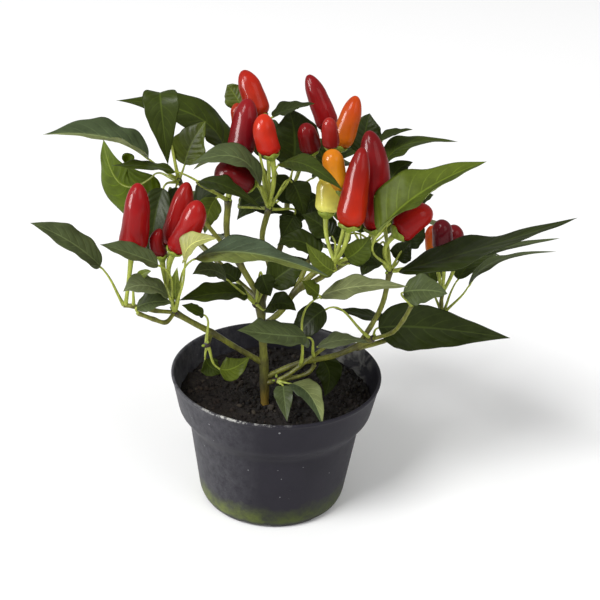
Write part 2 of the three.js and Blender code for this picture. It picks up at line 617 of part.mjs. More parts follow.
function makeSpray(joint, { stems, leaves, pods }) {
  const pieces = [solid(ball(joint, JOINT_RADIUS))];
  stems.forEach((path) => pieces.push(solid(tube(path.map(vec), 1.2, 5, 1))));
  leaves.forEach(([base, mid, tip, width, face, fold, foot]) => {
    const start = foot ? vec(foot) : leavingJoint(joint, vec(base));
    pieces.push(solid(leaf(start, vec(base), vec(mid), vec(tip), width, vec(face), fold)));
  });
  Object.values(pods).forEach((pod) => pieces.push(podParts(joint, pod).green));
  return fuse(pieces);
}

// ---------------------------------------------------------------- the plant in its pot

const plant = new THREE.Group();

plant.add(meshOf('pot', makePot(), 0x34343a, 0.55));
const trunk = makeTrunk();
plant.add(meshOf('trunk', trunk, 0x6b6a35, 0.75));
const holeRadius = (TRUNK.radius + GAP) / Math.cos(Math.PI / 8);
const hole = solid(tube([vec([-6, -14, 49.6]), vec([-6, -14, 60]), vec([-6.2, -14, 75])], holeRadius, 8, 2));
plant.add(meshOf('soil', makeSoil(hole), 0x1e1a1a, 0.95));

Object.entries(SPRAYS).forEach(([name, spray]) => {
  const joint = vec(BRANCHES[name].path.at(-1));
  plant.add(meshOf(`spray_${name}`, makeSpray(joint, spray), 0x42562b, 0.5));
  Object.entries(spray.pods).forEach(([podName, pod]) => {
    plant.add(meshOf(podName, podParts(joint, pod).fruit, pod[5], 0.25));
  });
});

export default plant;
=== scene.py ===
"""Potted chilli pepper plant: a bushy ornamental pepper in a nursery pot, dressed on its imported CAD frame."""

import bmesh
import bpy
import numpy as np
from mathutils import Matrix, Vector


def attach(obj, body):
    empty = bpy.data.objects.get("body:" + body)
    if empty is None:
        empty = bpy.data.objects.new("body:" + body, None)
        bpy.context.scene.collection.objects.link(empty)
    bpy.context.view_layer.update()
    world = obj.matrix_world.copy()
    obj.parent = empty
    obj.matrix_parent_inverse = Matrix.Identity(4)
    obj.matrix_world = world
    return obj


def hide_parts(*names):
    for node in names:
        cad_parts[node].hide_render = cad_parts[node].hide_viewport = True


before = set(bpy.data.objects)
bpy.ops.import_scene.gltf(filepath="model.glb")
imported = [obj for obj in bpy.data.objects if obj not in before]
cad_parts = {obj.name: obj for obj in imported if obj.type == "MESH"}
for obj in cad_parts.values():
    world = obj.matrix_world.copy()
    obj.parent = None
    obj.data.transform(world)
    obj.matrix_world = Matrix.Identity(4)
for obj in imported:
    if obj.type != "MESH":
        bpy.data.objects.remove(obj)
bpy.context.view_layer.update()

# ------------------------------------------------------------------ nursery pot
# A 12 cm grower's pot, injection moulded in thin black recycled polypropylene, with a flared collar, a
# recessed underside, six foot notches and six drain holes. It has been handled, rained on and stood in
# a wet tray, so it is scuffed and dusty, with lime on the rim and green algae round the foot.

MM = 0.001

POT_HEIGHT = 81
RIM_RADIUS = 60.5
RIM_FALL = (0.6, 2.4)         # how far the rim's rounded outer edge reaches in and down
COLLAR_FOOT = (56, 59.5)      # radius and height where the collar turns in
BODY_TOP = (50, 51.5)
BODY_FOOT = (43.3, 5)
FOOT_RADIUS = 41
WALL = 1.5
FLOOR = 3
RECESS = 1.8
PAD_RADIUS = 24
RECESS_RADIUS = 36
NOTCH_COUNT = 6
NOTCH_WIDTH = 17
NOTCH_FIRST_ANGLE = -102      # degrees
NOTCH_SIDE = 1.6              # degrees in which a notch's side rises
DRAIN_RADIUS = 4
DRAIN_RING = 30
DRAIN_FIRST_ANGLE = -72
POT_SIDES = 240
EASED_CORNER = 2.2
WALL_SPACING = 1.6


def linear(hex_colour):
    """An sRGB colour such as "#2b2a30" as linear red, green, blue and an alpha of 1."""
    srgb = np.array([int(hex_colour[i : i + 2], 16) for i in (1, 3, 5)]) / 255
    return np.append(np.where(srgb <= 0.04045, srgb / 12.92, ((srgb + 0.055) / 1.055) ** 2.4), 1.0)


def per_metre(size):
    """How often a pattern of a size in millimetres repeats in a metre, which is its texture's scale."""
    return 1 / (size * MM)


def add(tree, kind, values=None, **settings):
    """Adds a shader node: settings are its properties, and values its inputs by name or number, each a
    constant, another node's output, or another node, which stands for its first output."""
    made = tree.nodes.new(kind)
    for name, value in settings.items():
        setattr(made, name, value)
    for key, value in (values or {}).items():
        if isinstance(value, bpy.types.Node):
            value = value.outputs[0]
        if isinstance(value, bpy.types.NodeSocket):
            tree.links.new(value, made.inputs[key])
        else:
            made.inputs[key].default_value = value
    return made


# A Mix node's colour inputs and output, by number.
FACTOR, FIRST, SECOND, MIXED = 0, 6, 7, 2


def material_of(name, finish):
    """A material whose surface is the shader that the finish adds to its empty node tree."""
    material = bpy.data.materials.new(name)
    material.use_nodes = True
    tree = material.node_tree
    tree.nodes.clear()
    add(tree, "ShaderNodeOutputMaterial", {"Surface": finish(tree)})
    return material


def quads_of(rows, columns):
    """The faces between neighbouring points of a grid whose last column meets its first, as point
    numbers."""
    row, column = np.meshgrid(np.arange(rows - 1), np.arange(columns), indexing="ij")
    here = row * columns + column
    beside = row * columns + (column + 1) % columns
    return np.stack([here, beside, beside + columns, here + columns], -1).reshape(-1, 4)


def surface(points, material=0, uv=0.0, tint=1.0):
    """A grid of points in millimetres, (rows, columns, 3) or several alike, closed across its columns,
    with what it carries: a material number, a place in its own pattern and a colour at each point."""
    points = np.asarray(points, float)
    points = points.reshape(-1, *points.shape[-3:])
    shape = points.shape[:3]
    uv, tint = np.broadcast_to(uv, (*shape, 2)), np.broadcast_to(tint, (*shape, 4))
    return {"points": points, "material": material, "uv": uv, "tint": tint}


def build(name, surfaces, materials, node):
    """One object from several surfaces. Shared edges and poles are welded, faces turned outwards, and
    the piece rides on the root and stands for its CAD node."""
    points, faces, slots, uv, tint = [], [], [], [], []
    start = 0
    for made in surfaces:
        count, rows, columns = made["points"].shape[:3]
        quads = quads_of(rows, columns)
        offsets = start + rows * columns * np.arange(count)
        faces.append((quads + offsets[:, None, None]).reshape(-1, 4))
        slots.append(np.full(count * len(quads), made["material"]))
        points.append(made["points"].reshape(-1, 3) * MM)
        uv.append(made["uv"].reshape(-1, 2))
        tint.append(made["tint"].reshape(-1, 4))
        start += count * rows * columns
    points, faces, uv, tint = (np.concatenate(part) for part in (points, faces, uv, tint))
    tint[:, 3] = 1
    mesh = bpy.data.meshes.new(name)
    mesh.from_pydata(points.tolist(), [], faces.tolist())
    mesh.polygons.foreach_set("material_index", np.concatenate(slots))
    mesh.polygons.foreach_set("use_smooth", np.ones(len(faces), bool))
    mesh.uv_layers.new(name="Pattern").data.foreach_set("uv", uv[faces.ravel()].ravel())
    mesh.color_attributes.new("tint", "FLOAT_COLOR", "POINT").data.foreach_set("color", tint.ravel())
    for material in materials:
        mesh.materials.append(material)
    shell = bmesh.new()
    shell.from_mesh(mesh)
    bmesh.ops.remove_doubles(shell, verts=shell.verts, dist=1e-6)
    bmesh.ops.dissolve_degenerate(shell, edges=shell.edges, dist=1e-7)
    bmesh.ops.recalc_face_normals(shell, faces=shell.faces)
    shell.to_mesh(mesh)
    shell.free()
    piece = bpy.data.objects.new(name, mesh)
    bpy.context.scene.collection.objects.link(piece)
    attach(piece, "root")
    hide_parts(node)
    return piece


def rounded(corners, radius, steps=4):
    """A profile whose inner corners are eased: near each corner the line runs as a quadratic curve from
    radius before it to radius after it, or nearly half the side if that is shorter."""
    corners = np.asarray(corners, float)
    before, corner, after = corners[:-2], corners[1:-1], corners[2:]
    entry, leave = (
        corner + away / length * np.minimum(radius, 0.45 * length)
        for away, length in (
            (away, np.linalg.norm(away, axis=1, keepdims=True)) for away in (before - corner, after - corner)
        )
    )
    t = np.linspace(0, 1, steps)[None, :, None]
    eased = (1 - t) ** 2 * entry[:, None] + 2 * t * (1 - t) * corner[:, None] + t**2 * leave[:, None]
    return np.vstack([corners[:1], eased.reshape(-1, 2), corners[-1:]])


def refined(profile, spacing):
    """The profile with extra points, so that none of its sides is longer than spacing."""
    sides = [
        np.linspace(a, b, max(2, int(np.ceil(np.linalg.norm(b - a) / spacing)) + 1))[:-1]
        for a, b in zip(profile[:-1], profile[1:])
    ]
    return np.vstack([*sides, profile[-1:]])


def turned(profile, angles):
    """Points of a profile of radius and height turned about Z: a row for each profile point."""
    radius, height = profile[:, :1], profile[:, 1:]
    return np.stack([radius * np.cos(angles), radius * np.sin(angles), height + 0 * angles], -1)


def notched(points):
    """Pot points with the foot cut away: inside each notch, no point of the foot is lower than the
    notch's height, with steep sides."""
    radius = np.hypot(points[..., 0], points[..., 1])
    angle = np.degrees(np.arctan2(points[..., 1], points[..., 0]))
    pitch = 360 / NOTCH_COUNT
    off_centre = np.abs((angle - NOTCH_FIRST_ANGLE + pitch / 2) % pitch - pitch / 2)
    half_angle = np.degrees(NOTCH_WIDTH / 2 / FOOT_RADIUS) + 0.75 * NOTCH_SIDE
    depth = RECESS * np.clip((half_angle - off_centre) / NOTCH_SIDE, 0, 1)
    floor = np.where(radius > RECESS_RADIUS - 0.5, depth, 0)
    return np.concatenate([points[..., :2], np.maximum(points[..., 2:], floor[..., None])], -1)


def drilled_ring(inner, outer):
    """A flat ring between two radii with the drain holes in it. Each hole's sector is a grid: rays run
    from the hole's edge to the sector's outline."""
    pitch = 2 * np.pi / NOTCH_COUNT
    arc = np.linspace(-pitch / 2, pitch / 2, POT_SIDES // NOTCH_COUNT + 1)
    side = np.linspace(0, 1, 9)[1:-1]
    edge = np.exp(1j * pitch / 2)
    outline = np.concatenate([
        outer * np.exp(1j * arc), (outer + (inner - outer) * side) * edge,
        inner * np.exp(-1j * arc), (inner + (outer - inner) * side) / edge,
    ])
    rim = DRAIN_RING + DRAIN_RADIUS * np.exp(1j * np.angle(outline - DRAIN_RING))
    share = np.linspace(0, 1, 5)[:, None]
    sector = rim * (1 - share) + outline * share
    turn = np.exp(1j * (np.radians(DRAIN_FIRST_ANGLE) + pitch * np.arange(NOTCH_COUNT)))
    ring = sector * turn[:, None, None]
    return ring, np.stack([ring[:, 0]] * 2, 1)


def flat_points(ring, height):
    """Complex numbers in the plane as points at a height."""
    return np.stack([ring.real, ring.imag, np.broadcast_to(height, ring.shape)], -1)


pot_angles = np.radians(NOTCH_FIRST_ANGLE) + np.linspace(0, 2 * np.pi, POT_SIDES, endpoint=False)
drilled_inner, drilled_outer = PAD_RADIUS + 1.2, RECESS_RADIUS - 0.2
wall_corners = [
    (FOOT_RADIUS - 4, 0), (FOOT_RADIUS, 0), BODY_FOOT, BODY_TOP, COLLAR_FOOT,
    (RIM_RADIUS - RIM_FALL[0], POT_HEIGHT - RIM_FALL[1]), (RIM_RADIUS, POT_HEIGHT - 1.6),
    (RIM_RADIUS, POT_HEIGHT), (RIM_RADIUS - WALL - 0.2, POT_HEIGHT),
    (COLLAR_FOOT[0] - WALL, COLLAR_FOOT[1] + 0.4), (BODY_TOP[0] - WALL, BODY_TOP[1] + 0.6),
    (BODY_FOOT[0] - WALL, BODY_FOOT[1] + 3), (FOOT_RADIUS - WALL, FLOOR), (drilled_outer, FLOOR),
]
foot_profile = [(drilled_outer, RECESS), (RECESS_RADIUS, RECESS), (RECESS_RADIUS + 1, 0)]
wall_profile = refined(np.vstack([foot_profile, rounded(wall_corners, EASED_CORNER)]), WALL_SPACING)
pad_profile = np.array([(0, 0), (PAD_RADIUS, 0), (PAD_RADIUS + 1, RECESS), (drilled_inner, RECESS)], float)
floor_profile = np.array([(drilled_inner, FLOOR), (0, FLOOR)], float)
drilled, hole_wall = drilled_ring(drilled_inner, drilled_outer)
pot_surfaces = [
    surface(points) for points in (
        notched(turned(wall_profile, pot_angles)), turned(pad_profile, pot_angles),
        turned(floor_profile, pot_angles), flat_points(drilled, FLOOR), flat_points(drilled, RECESS),
        flat_points(hole_wall, np.array([RECESS, FLOOR])[:, None]),
    )
]


def weathered_black_plastic(tree):
    """Recycled polypropylene, blue-black where clean. Dust and fine scuffs dull it. The pale dust lies mostly
    on the left flank, where it is painted light as well as dust. Lime is crusted on the rim, and algae
    colours the foot, its green paler on the left side with painted light."""
    place = add(tree, "ShaderNodeTexCoord").outputs["Object"]
    x, y, z = add(tree, "ShaderNodeSeparateXYZ", {0: place}).outputs
    # Scuffs and dust are a little longer down the wall than round it.
    stretched = add(tree, "ShaderNodeMapping", {"Vector": place, "Scale": (1.0, 1.0, 0.8)})
    # Each noise is where it is read, its size in millimetres, detail, roughness and distortion.
    clouds, scuffs, grains, crust, smoke, patches, tufts = (
        add(
            tree, "ShaderNodeTexNoise",
            {
                "Vector": where, "Scale": per_metre(size), "Detail": detail, "Roughness": rough,
                "Distortion": distortion,
            },
        )
        for where, size, detail, rough, distortion in (
            (place, 26.3, 6.0, 0.65, 0.0), (stretched, 4.76, 8.0, 0.8, 0.0), (place, 14.3, 2.0, 0.5, 0.0),
            (place, 3.03, 4.0, 0.8, 0.0), (place, 13.3, 4.0, 0.5, 1.2), (place, 18.2, 5.0, 0.6, 0.0),
            (place, 7.7, 6.0, 0.7, 0.0),
        )
    )
    # Splashes dried to specks of up to 1.5 mm, one in each cell at most.
    cells = add(tree, "ShaderNodeTexVoronoi", {"Vector": place, "Scale": per_metre(4.76)})
    # The inner wall of the collar leans out by 0.204, which is taken off to tell it from the outer one.
    flat_place = add(tree, "ShaderNodeCombineXYZ", {0: x, 1: y})
    radius = add(tree, "ShaderNodeVectorMath", {0: flat_place}, operation="LENGTH").outputs["Value"]
    upright = add(tree, "ShaderNodeMath", {0: z, 1: -0.204, 2: radius}, operation="MULTIPLY_ADD")
    ragged = add(tree, "ShaderNodeMath", {0: patches, 1: 0.022, 2: z}, operation="MULTIPLY_ADD")
    # Each ramp is what it follows, where it starts and ends, in metres for a place, and what it gives there.
    ramps = {
        name: add(
            tree, "ShaderNodeMapRange",
            {"Value": value, "From Min": start, "From Max": end, "To Min": low, "To Max": high},
        )
        for name, value, start, end, low, high in (
            ("scuffed", scuffs, 0.3, 0.85, 0.0, 1.0),
            # Painted light: this ramp lays the pale dust on thickest along the left flank, where the light
            # falls.
            ("painted light on left flank", x, -0.005, -0.055, 0.03, 0.9),
            ("speck size", grains, 0.5, 0.75, 0.0, 0.16),
            ("rim", z, 0.0796, 0.0808, 0.0, 1.0),
            ("rim front", y, -0.040, -0.052, 0.0, 1.0),
            ("rim left", x, 0.012, -0.022, 0.0, 1.2),
            ("crumbly", crust, 0.47, 0.62, 0.0, 1.0),
            ("right", x, 0.022, 0.036, 0.0, 1.0),
            ("back", y, 0.012, 0.026, 0.0, 1.0),
            ("inner wall", upright, 0.0432, 0.0429, 0.0, 0.7),
            ("over soil", z, 0.0610, 0.0640, 0.0, 1.0),
            ("wisps", smoke, 0.42, 0.68, 0.0, 1.0),
            ("low band", ragged, 0.029, 0.017, 0.0, 1.0),
            ("off the floor", z, 0.0012, 0.0045, 0.0, 1.0),
            ("tufted", tufts, 0.38, 0.6, 0.3, 0.95),
            ("left", x, 0.0, -0.03, 0.0, 1.0),
            ("dull", scuffs, 0.0, 1.0, 0.36, 0.66),
        )
    }
    # Dust lies where scuffs meet the left flank, and its pale grey there is painted light as well as dust.
    # Lime is a pale crust on the front left of the rim, and a thin film inside the collar at the back right.
    # Algae is a soft, patchy band up to 20 mm high. Each cover is where all of its ramps are high.
    covers = {}
    for cover, (first, *others) in {
        "dust": ("scuffed", "painted light on left flank"),
        "rim lime": ("rim", "rim front", "rim left", "crumbly"),
        "film": ("right", "back", "inner wall", "over soil", "wisps"),
        "algae": ("low band", "off the floor", "tufted"),
    }.items():
        covers[cover] = ramps[first]
        for other in others:
            product = {0: covers[cover], 1: ramps[other]}
            covers[cover] = add(tree, "ShaderNodeMath", product, operation="MULTIPLY")
    speck = add(tree, "ShaderNodeMath", {0: cells, 1: ramps["speck size"]}, operation="LESS_THAN")
    lime = add(tree, "ShaderNodeMath", {0: covers["rim lime"], 1: covers["film"]}, operation="MAXIMUM")
    # The algae's green turns paler on the left side: painted light over the algae's own colour.
    algae_and_painted_light = add(
        tree, "ShaderNodeMix",
        {FACTOR: ramps["left"], FIRST: linear("#424b20"), SECOND: linear("#6f7a3c")}, data_type="RGBA",
    ).outputs[MIXED]
    colour = linear("#18161d")
    for cover, over in (
        (clouds, linear("#28262e")), (covers["dust"], linear("#77777b")), (speck, linear("#7c7c7f")),
        (lime, linear("#b9b8b4")), (covers["algae"], algae_and_painted_light),
    ):
        layers = {FACTOR: cover, FIRST: colour, SECOND: over}
        colour = add(tree, "ShaderNodeMix", layers, data_type="RGBA").outputs[MIXED]
    bump = add(tree, "ShaderNodeBump", {"Height": crust, "Distance": 0.0003, "Strength": 0.25})
    return add(
        tree, "ShaderNodeBsdfPrincipled",
        {"Base Color": colour, "Roughness": ramps["dull"], "Specular IOR Level": 0.12, "Normal": bump},
    )


pot_skin = material_of("weathered black polypropylene", weathered_black_plastic)
nursery_pot = build("nursery_pot", pot_surfaces, [pot_skin], "pot")

# ------------------------------------------------------------------ potting soil
# Moist peat-based potting mix, almost black, pressed down by watering into small crumbs. Bark bits
# and a few mineral grains show between them. It fills the pot to 15 mm below the rim.

SOIL_LEVEL = 66
SOIL_EDGE = 55.4
SOIL_FOOT = [(38.8, 3.3), (41.1, 8.3)]
SOIL_GAP = (0.7, 0.9)         # how far the soil stands in from the wall, and its turns stand higher
WELL_DEPTH = 8
CRUMB_COUNT = 1400
CRUMB_RADII = (0.3, 1.1)
WALL_CLEARANCE, STEM_CLEARANCE = 2.5, 2.4
TRUNK_FOOT = np.array([-6.0, -14.0])
TRUNK_HOLE = 2.75
SOIL_BROWN = linear("#1f1a17")
# The crumbs' colours, and how many have each.
CRUMB_COLOURS = {
    "#1a1614": 0.3, "#211b18": 0.28, "#28201b": 0.18, "#2e251d": 0.1, "#131110": 0.1, "#3c352c": 0.04,
}
rng = np.random.default_rng(12)


def ripples(points, size, seed, waves=7):
    """A smooth random height at each point, between about -1 and 1: the mean of sine waves that run in
    seeded directions, with a wavelength near size."""
    draw = np.random.default_rng(seed)
    heading = draw.normal(size=(waves, points.shape[-1]))
    length = np.linalg.norm(heading, axis=1)[:, None]
    heading *= (2 * np.pi / size) * draw.uniform(0.6, 1.5, (waves, 1)) / length
    return np.sin(points @ heading.T + draw.uniform(0, 2 * np.pi, waves)).sum(-1) / np.sqrt(waves)


def soil_height(x, y):
    """The soil's surface: a low mound with crossed ripples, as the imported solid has, and fine crumbs."""
    swell = np.sin(0.31 * x + 1.3) * np.cos(0.27 * y) + 0.6 * np.sin(0.55 * y - 0.2 * x)
    mound = 1.5 - (x * x + y * y) / 1800
    place = np.stack([x, y], -1)
    crumbs = 0.35 * ripples(place, 5, 1) + 0.25 * ripples(place, 2.4, 2) + 0.12 * ripples(place, 1.2, 3)
    return SOIL_LEVEL - 0.4 + 0.66 * swell + mound + crumbs


def ball(rows, columns):
    """Points of a ball of radius 1, from its foot to its top."""
    up = np.linspace(-np.pi / 2, np.pi / 2, rows)[:, None]
    round_ = np.linspace(0, 2 * np.pi, columns, endpoint=False)
    return np.stack([np.cos(up) * np.cos(round_), np.cos(up) * np.sin(round_), np.sin(up) + 0 * round_], -1)


soil_angles = np.linspace(0, 2 * np.pi, 260, endpoint=False)
bed_radius = np.linspace(SOIL_EDGE, TRUNK_HOLE, 90)[:, None]
centre_share = (SOIL_EDGE - bed_radius) / (SOIL_EDGE - TRUNK_HOLE)
bed_x = bed_radius * np.cos(soil_angles) + TRUNK_FOOT[0] * centre_share
bed_y = bed_radius * np.sin(soil_angles) + TRUNK_FOOT[1] * centre_share
bed = np.stack([bed_x, bed_y, soil_height(bed_x, bed_y)], -1)
sides_profile = np.array([
    (0, SOIL_FOOT[0][1]), *SOIL_FOOT,
    *((radius - WALL - SOIL_GAP[0], height + SOIL_GAP[1]) for radius, height in (BODY_TOP, COLLAR_FOOT)),
])
soil_sides = np.concatenate([turned(sides_profile, soil_angles), bed[:1]])
well_floor = np.broadcast_to([*TRUNK_FOOT, SOIL_LEVEL - WELL_DEPTH], bed[:1].shape)
soil_well = np.concatenate([bed[-1:], bed[-1:] - [0, 0, WELL_DEPTH], well_floor])

crumb_radius = rng.uniform(*CRUMB_RADII, CRUMB_COUNT) * rng.choice([1, 1, 1, 1.7], CRUMB_COUNT)
crumb_reach = (SOIL_EDGE - WALL_CLEARANCE) * np.sqrt(rng.uniform(0.004, 1, CRUMB_COUNT))
crumb_angle = rng.uniform(0, 2 * np.pi, CRUMB_COUNT)
crumb_x, crumb_y = crumb_reach * np.cos(crumb_angle), crumb_reach * np.sin(crumb_angle)
ball_grid = ball(5, 6)
lumpy = ball_grid * (1 + 0.35 * rng.uniform(-1, 1, (CRUMB_COUNT, *ball_grid.shape[:2], 1)))
lumpy[:, 0], lumpy[:, -1] = ball_grid[0], ball_grid[-1]
crumbs = lumpy * rng.uniform(0.5, 1.4, (CRUMB_COUNT, 1, 1, 3)) * crumb_radius[:, None, None, None]
turn = rng.uniform(0, 2 * np.pi, CRUMB_COUNT)[:, None, None]
crumbs = np.stack([
    crumbs[..., 0] * np.cos(turn) - crumbs[..., 1] * np.sin(turn),
    crumbs[..., 0] * np.sin(turn) + crumbs[..., 1] * np.cos(turn),
    crumbs[..., 2],
], -1)
crumb_seat = np.stack([crumb_x, crumb_y, soil_height(crumb_x, crumb_y) + 0.1 * crumb_radius], -1)
off_stem = np.hypot(crumb_x - TRUNK_FOOT[0], crumb_y - TRUNK_FOOT[1])
clear_of_stem = off_stem > TRUNK_HOLE + STEM_CLEARANCE
crumbs = (crumbs + crumb_seat[:, None, None])[clear_of_stem]
crumb_mix = rng.choice(len(CRUMB_COLOURS), len(crumbs), p=list(CRUMB_COLOURS.values()))
crumb_tint = np.array([linear(colour) for colour in CRUMB_COLOURS])[crumb_mix][:, None, None]


def own_tint(tree, shade):
    """The piece's own colour at each point, times a number from a node: the number is made a grey, and
    the two are multiplied."""
    tint = add(tree, "ShaderNodeAttribute", attribute_name="tint")
    grey = add(tree, "ShaderNodeCombineColor", {0: shade, 1: shade, 2: shade})
    return add(
        tree, "ShaderNodeMix", {FACTOR: 1.0, FIRST: tint, SECOND: grey},
        data_type="RGBA", blend_type="MULTIPLY",
    ).outputs[MIXED]


def damp_peat(tree):
    """Damp peat: rough and light-drinking, brown-black, with paler fibres and a faint wet glint."""
    place = add(tree, "ShaderNodeTexCoord").outputs["Object"]
    grain = add(
        tree, "ShaderNodeTexNoise",
        {"Vector": place, "Scale": per_metre(2.38), "Detail": 6.0, "Roughness": 0.75},
    )
    shade = add(
        tree, "ShaderNodeMapRange",
        {"Value": grain, "From Min": 0.35, "From Max": 0.7, "To Min": 0.5, "To Max": 1.4},
    )
    bump = add(tree, "ShaderNodeBump", {"Height": grain, "Distance": 0.0006, "Strength": 0.7})
    return add(
        tree, "ShaderNodeBsdfPrincipled",
        {"Base Color": own_tint(tree, shade), "Roughness": 0.85, "Specular IOR Level": 0.2, "Normal": bump},
    )


soil_surfaces = [surface(points, tint=SOIL_BROWN) for points in (soil_sides, bed, soil_well)]
potting_soil = build(
    "potting_soil", [*soil_surfaces, surface(crumbs, tint=crumb_tint)],
    [material_of("damp peat potting mix", damp_peat)], "soil",
)

# ------------------------------------------------------------------ trunk and branches
# The woody base of a year-old pepper: pale brown bark near the soil and olive green above, finely ridged
# along its length, swollen and stained purple-black at every joint. Each stem is a round swept tube.

TRUNK_RADIUS = 2.3
TRUNK_PATH = [[-6, -14, 50], [-6, -14, 66], [-8, -14, 103], [-11, -12, 134]]
# Each branch is its radius and its path, from what carries it to the joint of its spray.
BRANCHES = {
    "left": (1.6, [[-8, -14, 93], [-24, -20, 106], [-35, -27, 117], [-47, -33, 127], [-55, -37, 134]]),
    "low_right": (1.6, [[-6, -14, 84], [13, -14, 94], [33, -14, 100], [52, -14, 111]]),
    "far_right": (1.4, [[44, -14, 105], [55, -6, 104], [76, 6, 107], [94, 14, 114]]),
    "right": (1.5, [[44, -14, 105], [53, -6, 118], [57, -8, 131], [59, -10, 151]]),
    "top_left": (1.7, [[-11, -12, 133], [-23, -5, 150], [-30, 0, 163], [-30, 0, 184]]),
    "upper_left": (1.3, [[-23, -5, 150], [-35, 1, 161], [-46, 4, 174], [-57, 5, 192]]),
    "top": (1.6, [[-11, -12, 134], [-6, -8, 147], [-11, -2, 163], [-8, -4, 182]]),
    "front_right": (1.7, [[-9, -14, 116], [1, -20, 129], [8, -24, 143], [19, -27, 157], [28, -28, 162]]),
    "top_right": (1.4, [[8, -24, 143], [16, -12, 160], [22, -2, 174], [25, 4, 186]]),
    "back": (1.6, [[-10, -12, 128], [-4, 8, 142], [1, 30, 156], [2, 49, 171]]),
    "back_left": (1.5, [[-10, -12, 130], [-26, 3, 137], [-42, 17, 146], [-55, 29, 153]]),
    "back_right": (1.5, [[8, -24, 143], [22, -5, 143], [36, 16, 143], [48, 36, 143]]),
    "centre": (1.4, [[-10, -13, 126], [-13, -17, 131]]),
    "low_front": (1.4, [[-6, -14, 80], [-3, -16, 82], [0, -18.5, 84.5]]),
    "low_left": (1.2, [[-36, -27, 118], [-37, -31, 116], [-38, -34, 114]]),
}
BARK, OLIVE_STEM, JOINT_STAIN = linear("#8f7430"), linear("#76782c"), linear("#332628")
BARK_HEIGHT = 68              # where the bark starts to turn green
BARK_FADE = 16                # and how much further up it is all green
PATCH_HEIGHT = 78             # above this, brown patches break up the green


def unit(vectors):
    """The vectors at length 1."""
    return vectors / np.linalg.norm(vectors, axis=-1, keepdims=True)


def smooth_path(corners, steps=9):
    """A centripetal Catmull-Rom curve through the corners, with that many points in each span."""
    corners = np.asarray(corners, float)
    ends = 2 * corners[0] - corners[1], 2 * corners[-1] - corners[-2]
    padded = np.vstack([ends[0], corners, ends[1]])
    gap = np.sqrt(np.linalg.norm(np.diff(padded, axis=0), axis=1))[:, None, None]
    first, second, third, fourth = (padded[i : i + len(corners) - 1, None] for i in range(4))
    before, span, after = gap[:-2], gap[1:-1], gap[2:]
    leaving = (
        (second - first) / before - (third - first) / (before + span) + (third - second) / span
    ) * span
    arriving = (
        (third - second) / span - (fourth - second) / (span + after) + (fourth - third) / after
    ) * span
    t = np.linspace(0, 1, steps, endpoint=False)[None, :, None]
    curve = (
        (2 * t**3 - 3 * t**2 + 1) * second + (t**3 - 2 * t**2 + t) * leaving
        + (3 * t**2 - 2 * t**3) * third + (t**3 - t**2) * arriving
    )
    return np.vstack([curve.reshape(-1, 3), corners[-1:]])


def tube(path, radius, tint, material=0, sides=14):
    """A round stem along a path, closed at both ends. The radius and tint may change from point to
    point."""
    radius = np.broadcast_to(radius, len(path))[:, None, None]
    along = unit(np.gradient(path, axis=0))
    reference = np.eye(3)[np.argmin(np.abs(path[-1] - path[0]))]
    side = unit(np.cross(along, reference))[:, None]
    other = np.cross(side[:, 0], along)[:, None]
    angle = np.linspace(0, 2 * np.pi, sides, endpoint=False)[None, :, None]
    ring = path[:, None] + radius * (np.cos(angle) * side + np.sin(angle) * other)
    start, end = (np.broadcast_to(path[i], (1, sides, 3)) for i in (0, -1))
    tint = np.broadcast_to(tint, (len(path), 4))[:, None]
    tint = np.concatenate([tint[:1], tint, tint[-1:]])
    return surface(np.concatenate([start, ring, end]), material=material, tint=tint)


def nearness(points, places, reach):
    """How near each point is to the nearest of the places: 1 there, and fading to 0 past reach."""
    distance = np.linalg.norm(points[:, None] - np.asarray(places, float), axis=-1).min(1)
    return np.exp(-((distance / reach) ** 2))


def stem_surface(corners, radius, joints):
    """A branch tube that swells by over a quarter at its joints. The stain at a joint fades into green,
    and the green into bark towards the soil. Patches of the same purple-brown break up the green."""
    path = smooth_path(corners)
    height = path[:, 2]
    swelling = 1 + 0.28 * nearness(path, joints, 3.0)
    wobble = 1 + 0.05 * ripples(path, 7, 5)
    green_share = np.clip((height - BARK_HEIGHT) / BARK_FADE, 0, 1)[:, None]
    tint = BARK + (OLIVE_STEM - BARK) * green_share
    patches = 0.5 * np.clip(0.3 + ripples(path, 15, 8), 0, 1) * np.clip((height - PATCH_HEIGHT) / 6, 0, 1)
    stain = np.maximum(0.7 * nearness(path, joints, 3.6), patches)[:, None]
    return tube(path, radius * wobble * swelling, tint + (JOINT_STAIN - tint) * stain)


def ridged_stem(tree):
    """Green bark with fine lengthwise ridges, corky flecks and a soft, slightly waxy shine."""
    place = add(tree, "ShaderNodeTexCoord").outputs["Object"]
    # The ridges are four times as long as wide, and wider than real ones so that they show.
    stretched = add(tree, "ShaderNodeMapping", {"Vector": place, "Scale": (1.0, 1.0, 0.25)})
    ridges = add(
        tree, "ShaderNodeTexNoise",
        {"Vector": stretched, "Scale": per_metre(1.43), "Detail": 4.0, "Roughness": 0.6},
    )
    shade = add(
        tree, "ShaderNodeMapRange",
        {"Value": ridges, "From Min": 0.3, "From Max": 0.7, "To Min": 0.6, "To Max": 1.3},
    )
    bump = add(tree, "ShaderNodeBump", {"Height": ridges, "Distance": 0.0003, "Strength": 0.5})
    return add(
        tree, "ShaderNodeBsdfPrincipled",
        {"Base Color": own_tint(tree, shade), "Roughness": 0.5, "Specular IOR Level": 0.25, "Normal": bump},
    )


joint_places = [path[end] for end in (0, -1) for _, path in BRANCHES.values()]
stem_surfaces = [
    stem_surface(path, radius, joint_places)
    for radius, path in [(TRUNK_RADIUS, TRUNK_PATH), *BRANCHES.values()]
]
stem_skin = material_of("ridged green pepper stem", ridged_stem)
woody_stems = build("woody_stems", stem_surfaces, [stem_skin], "trunk")

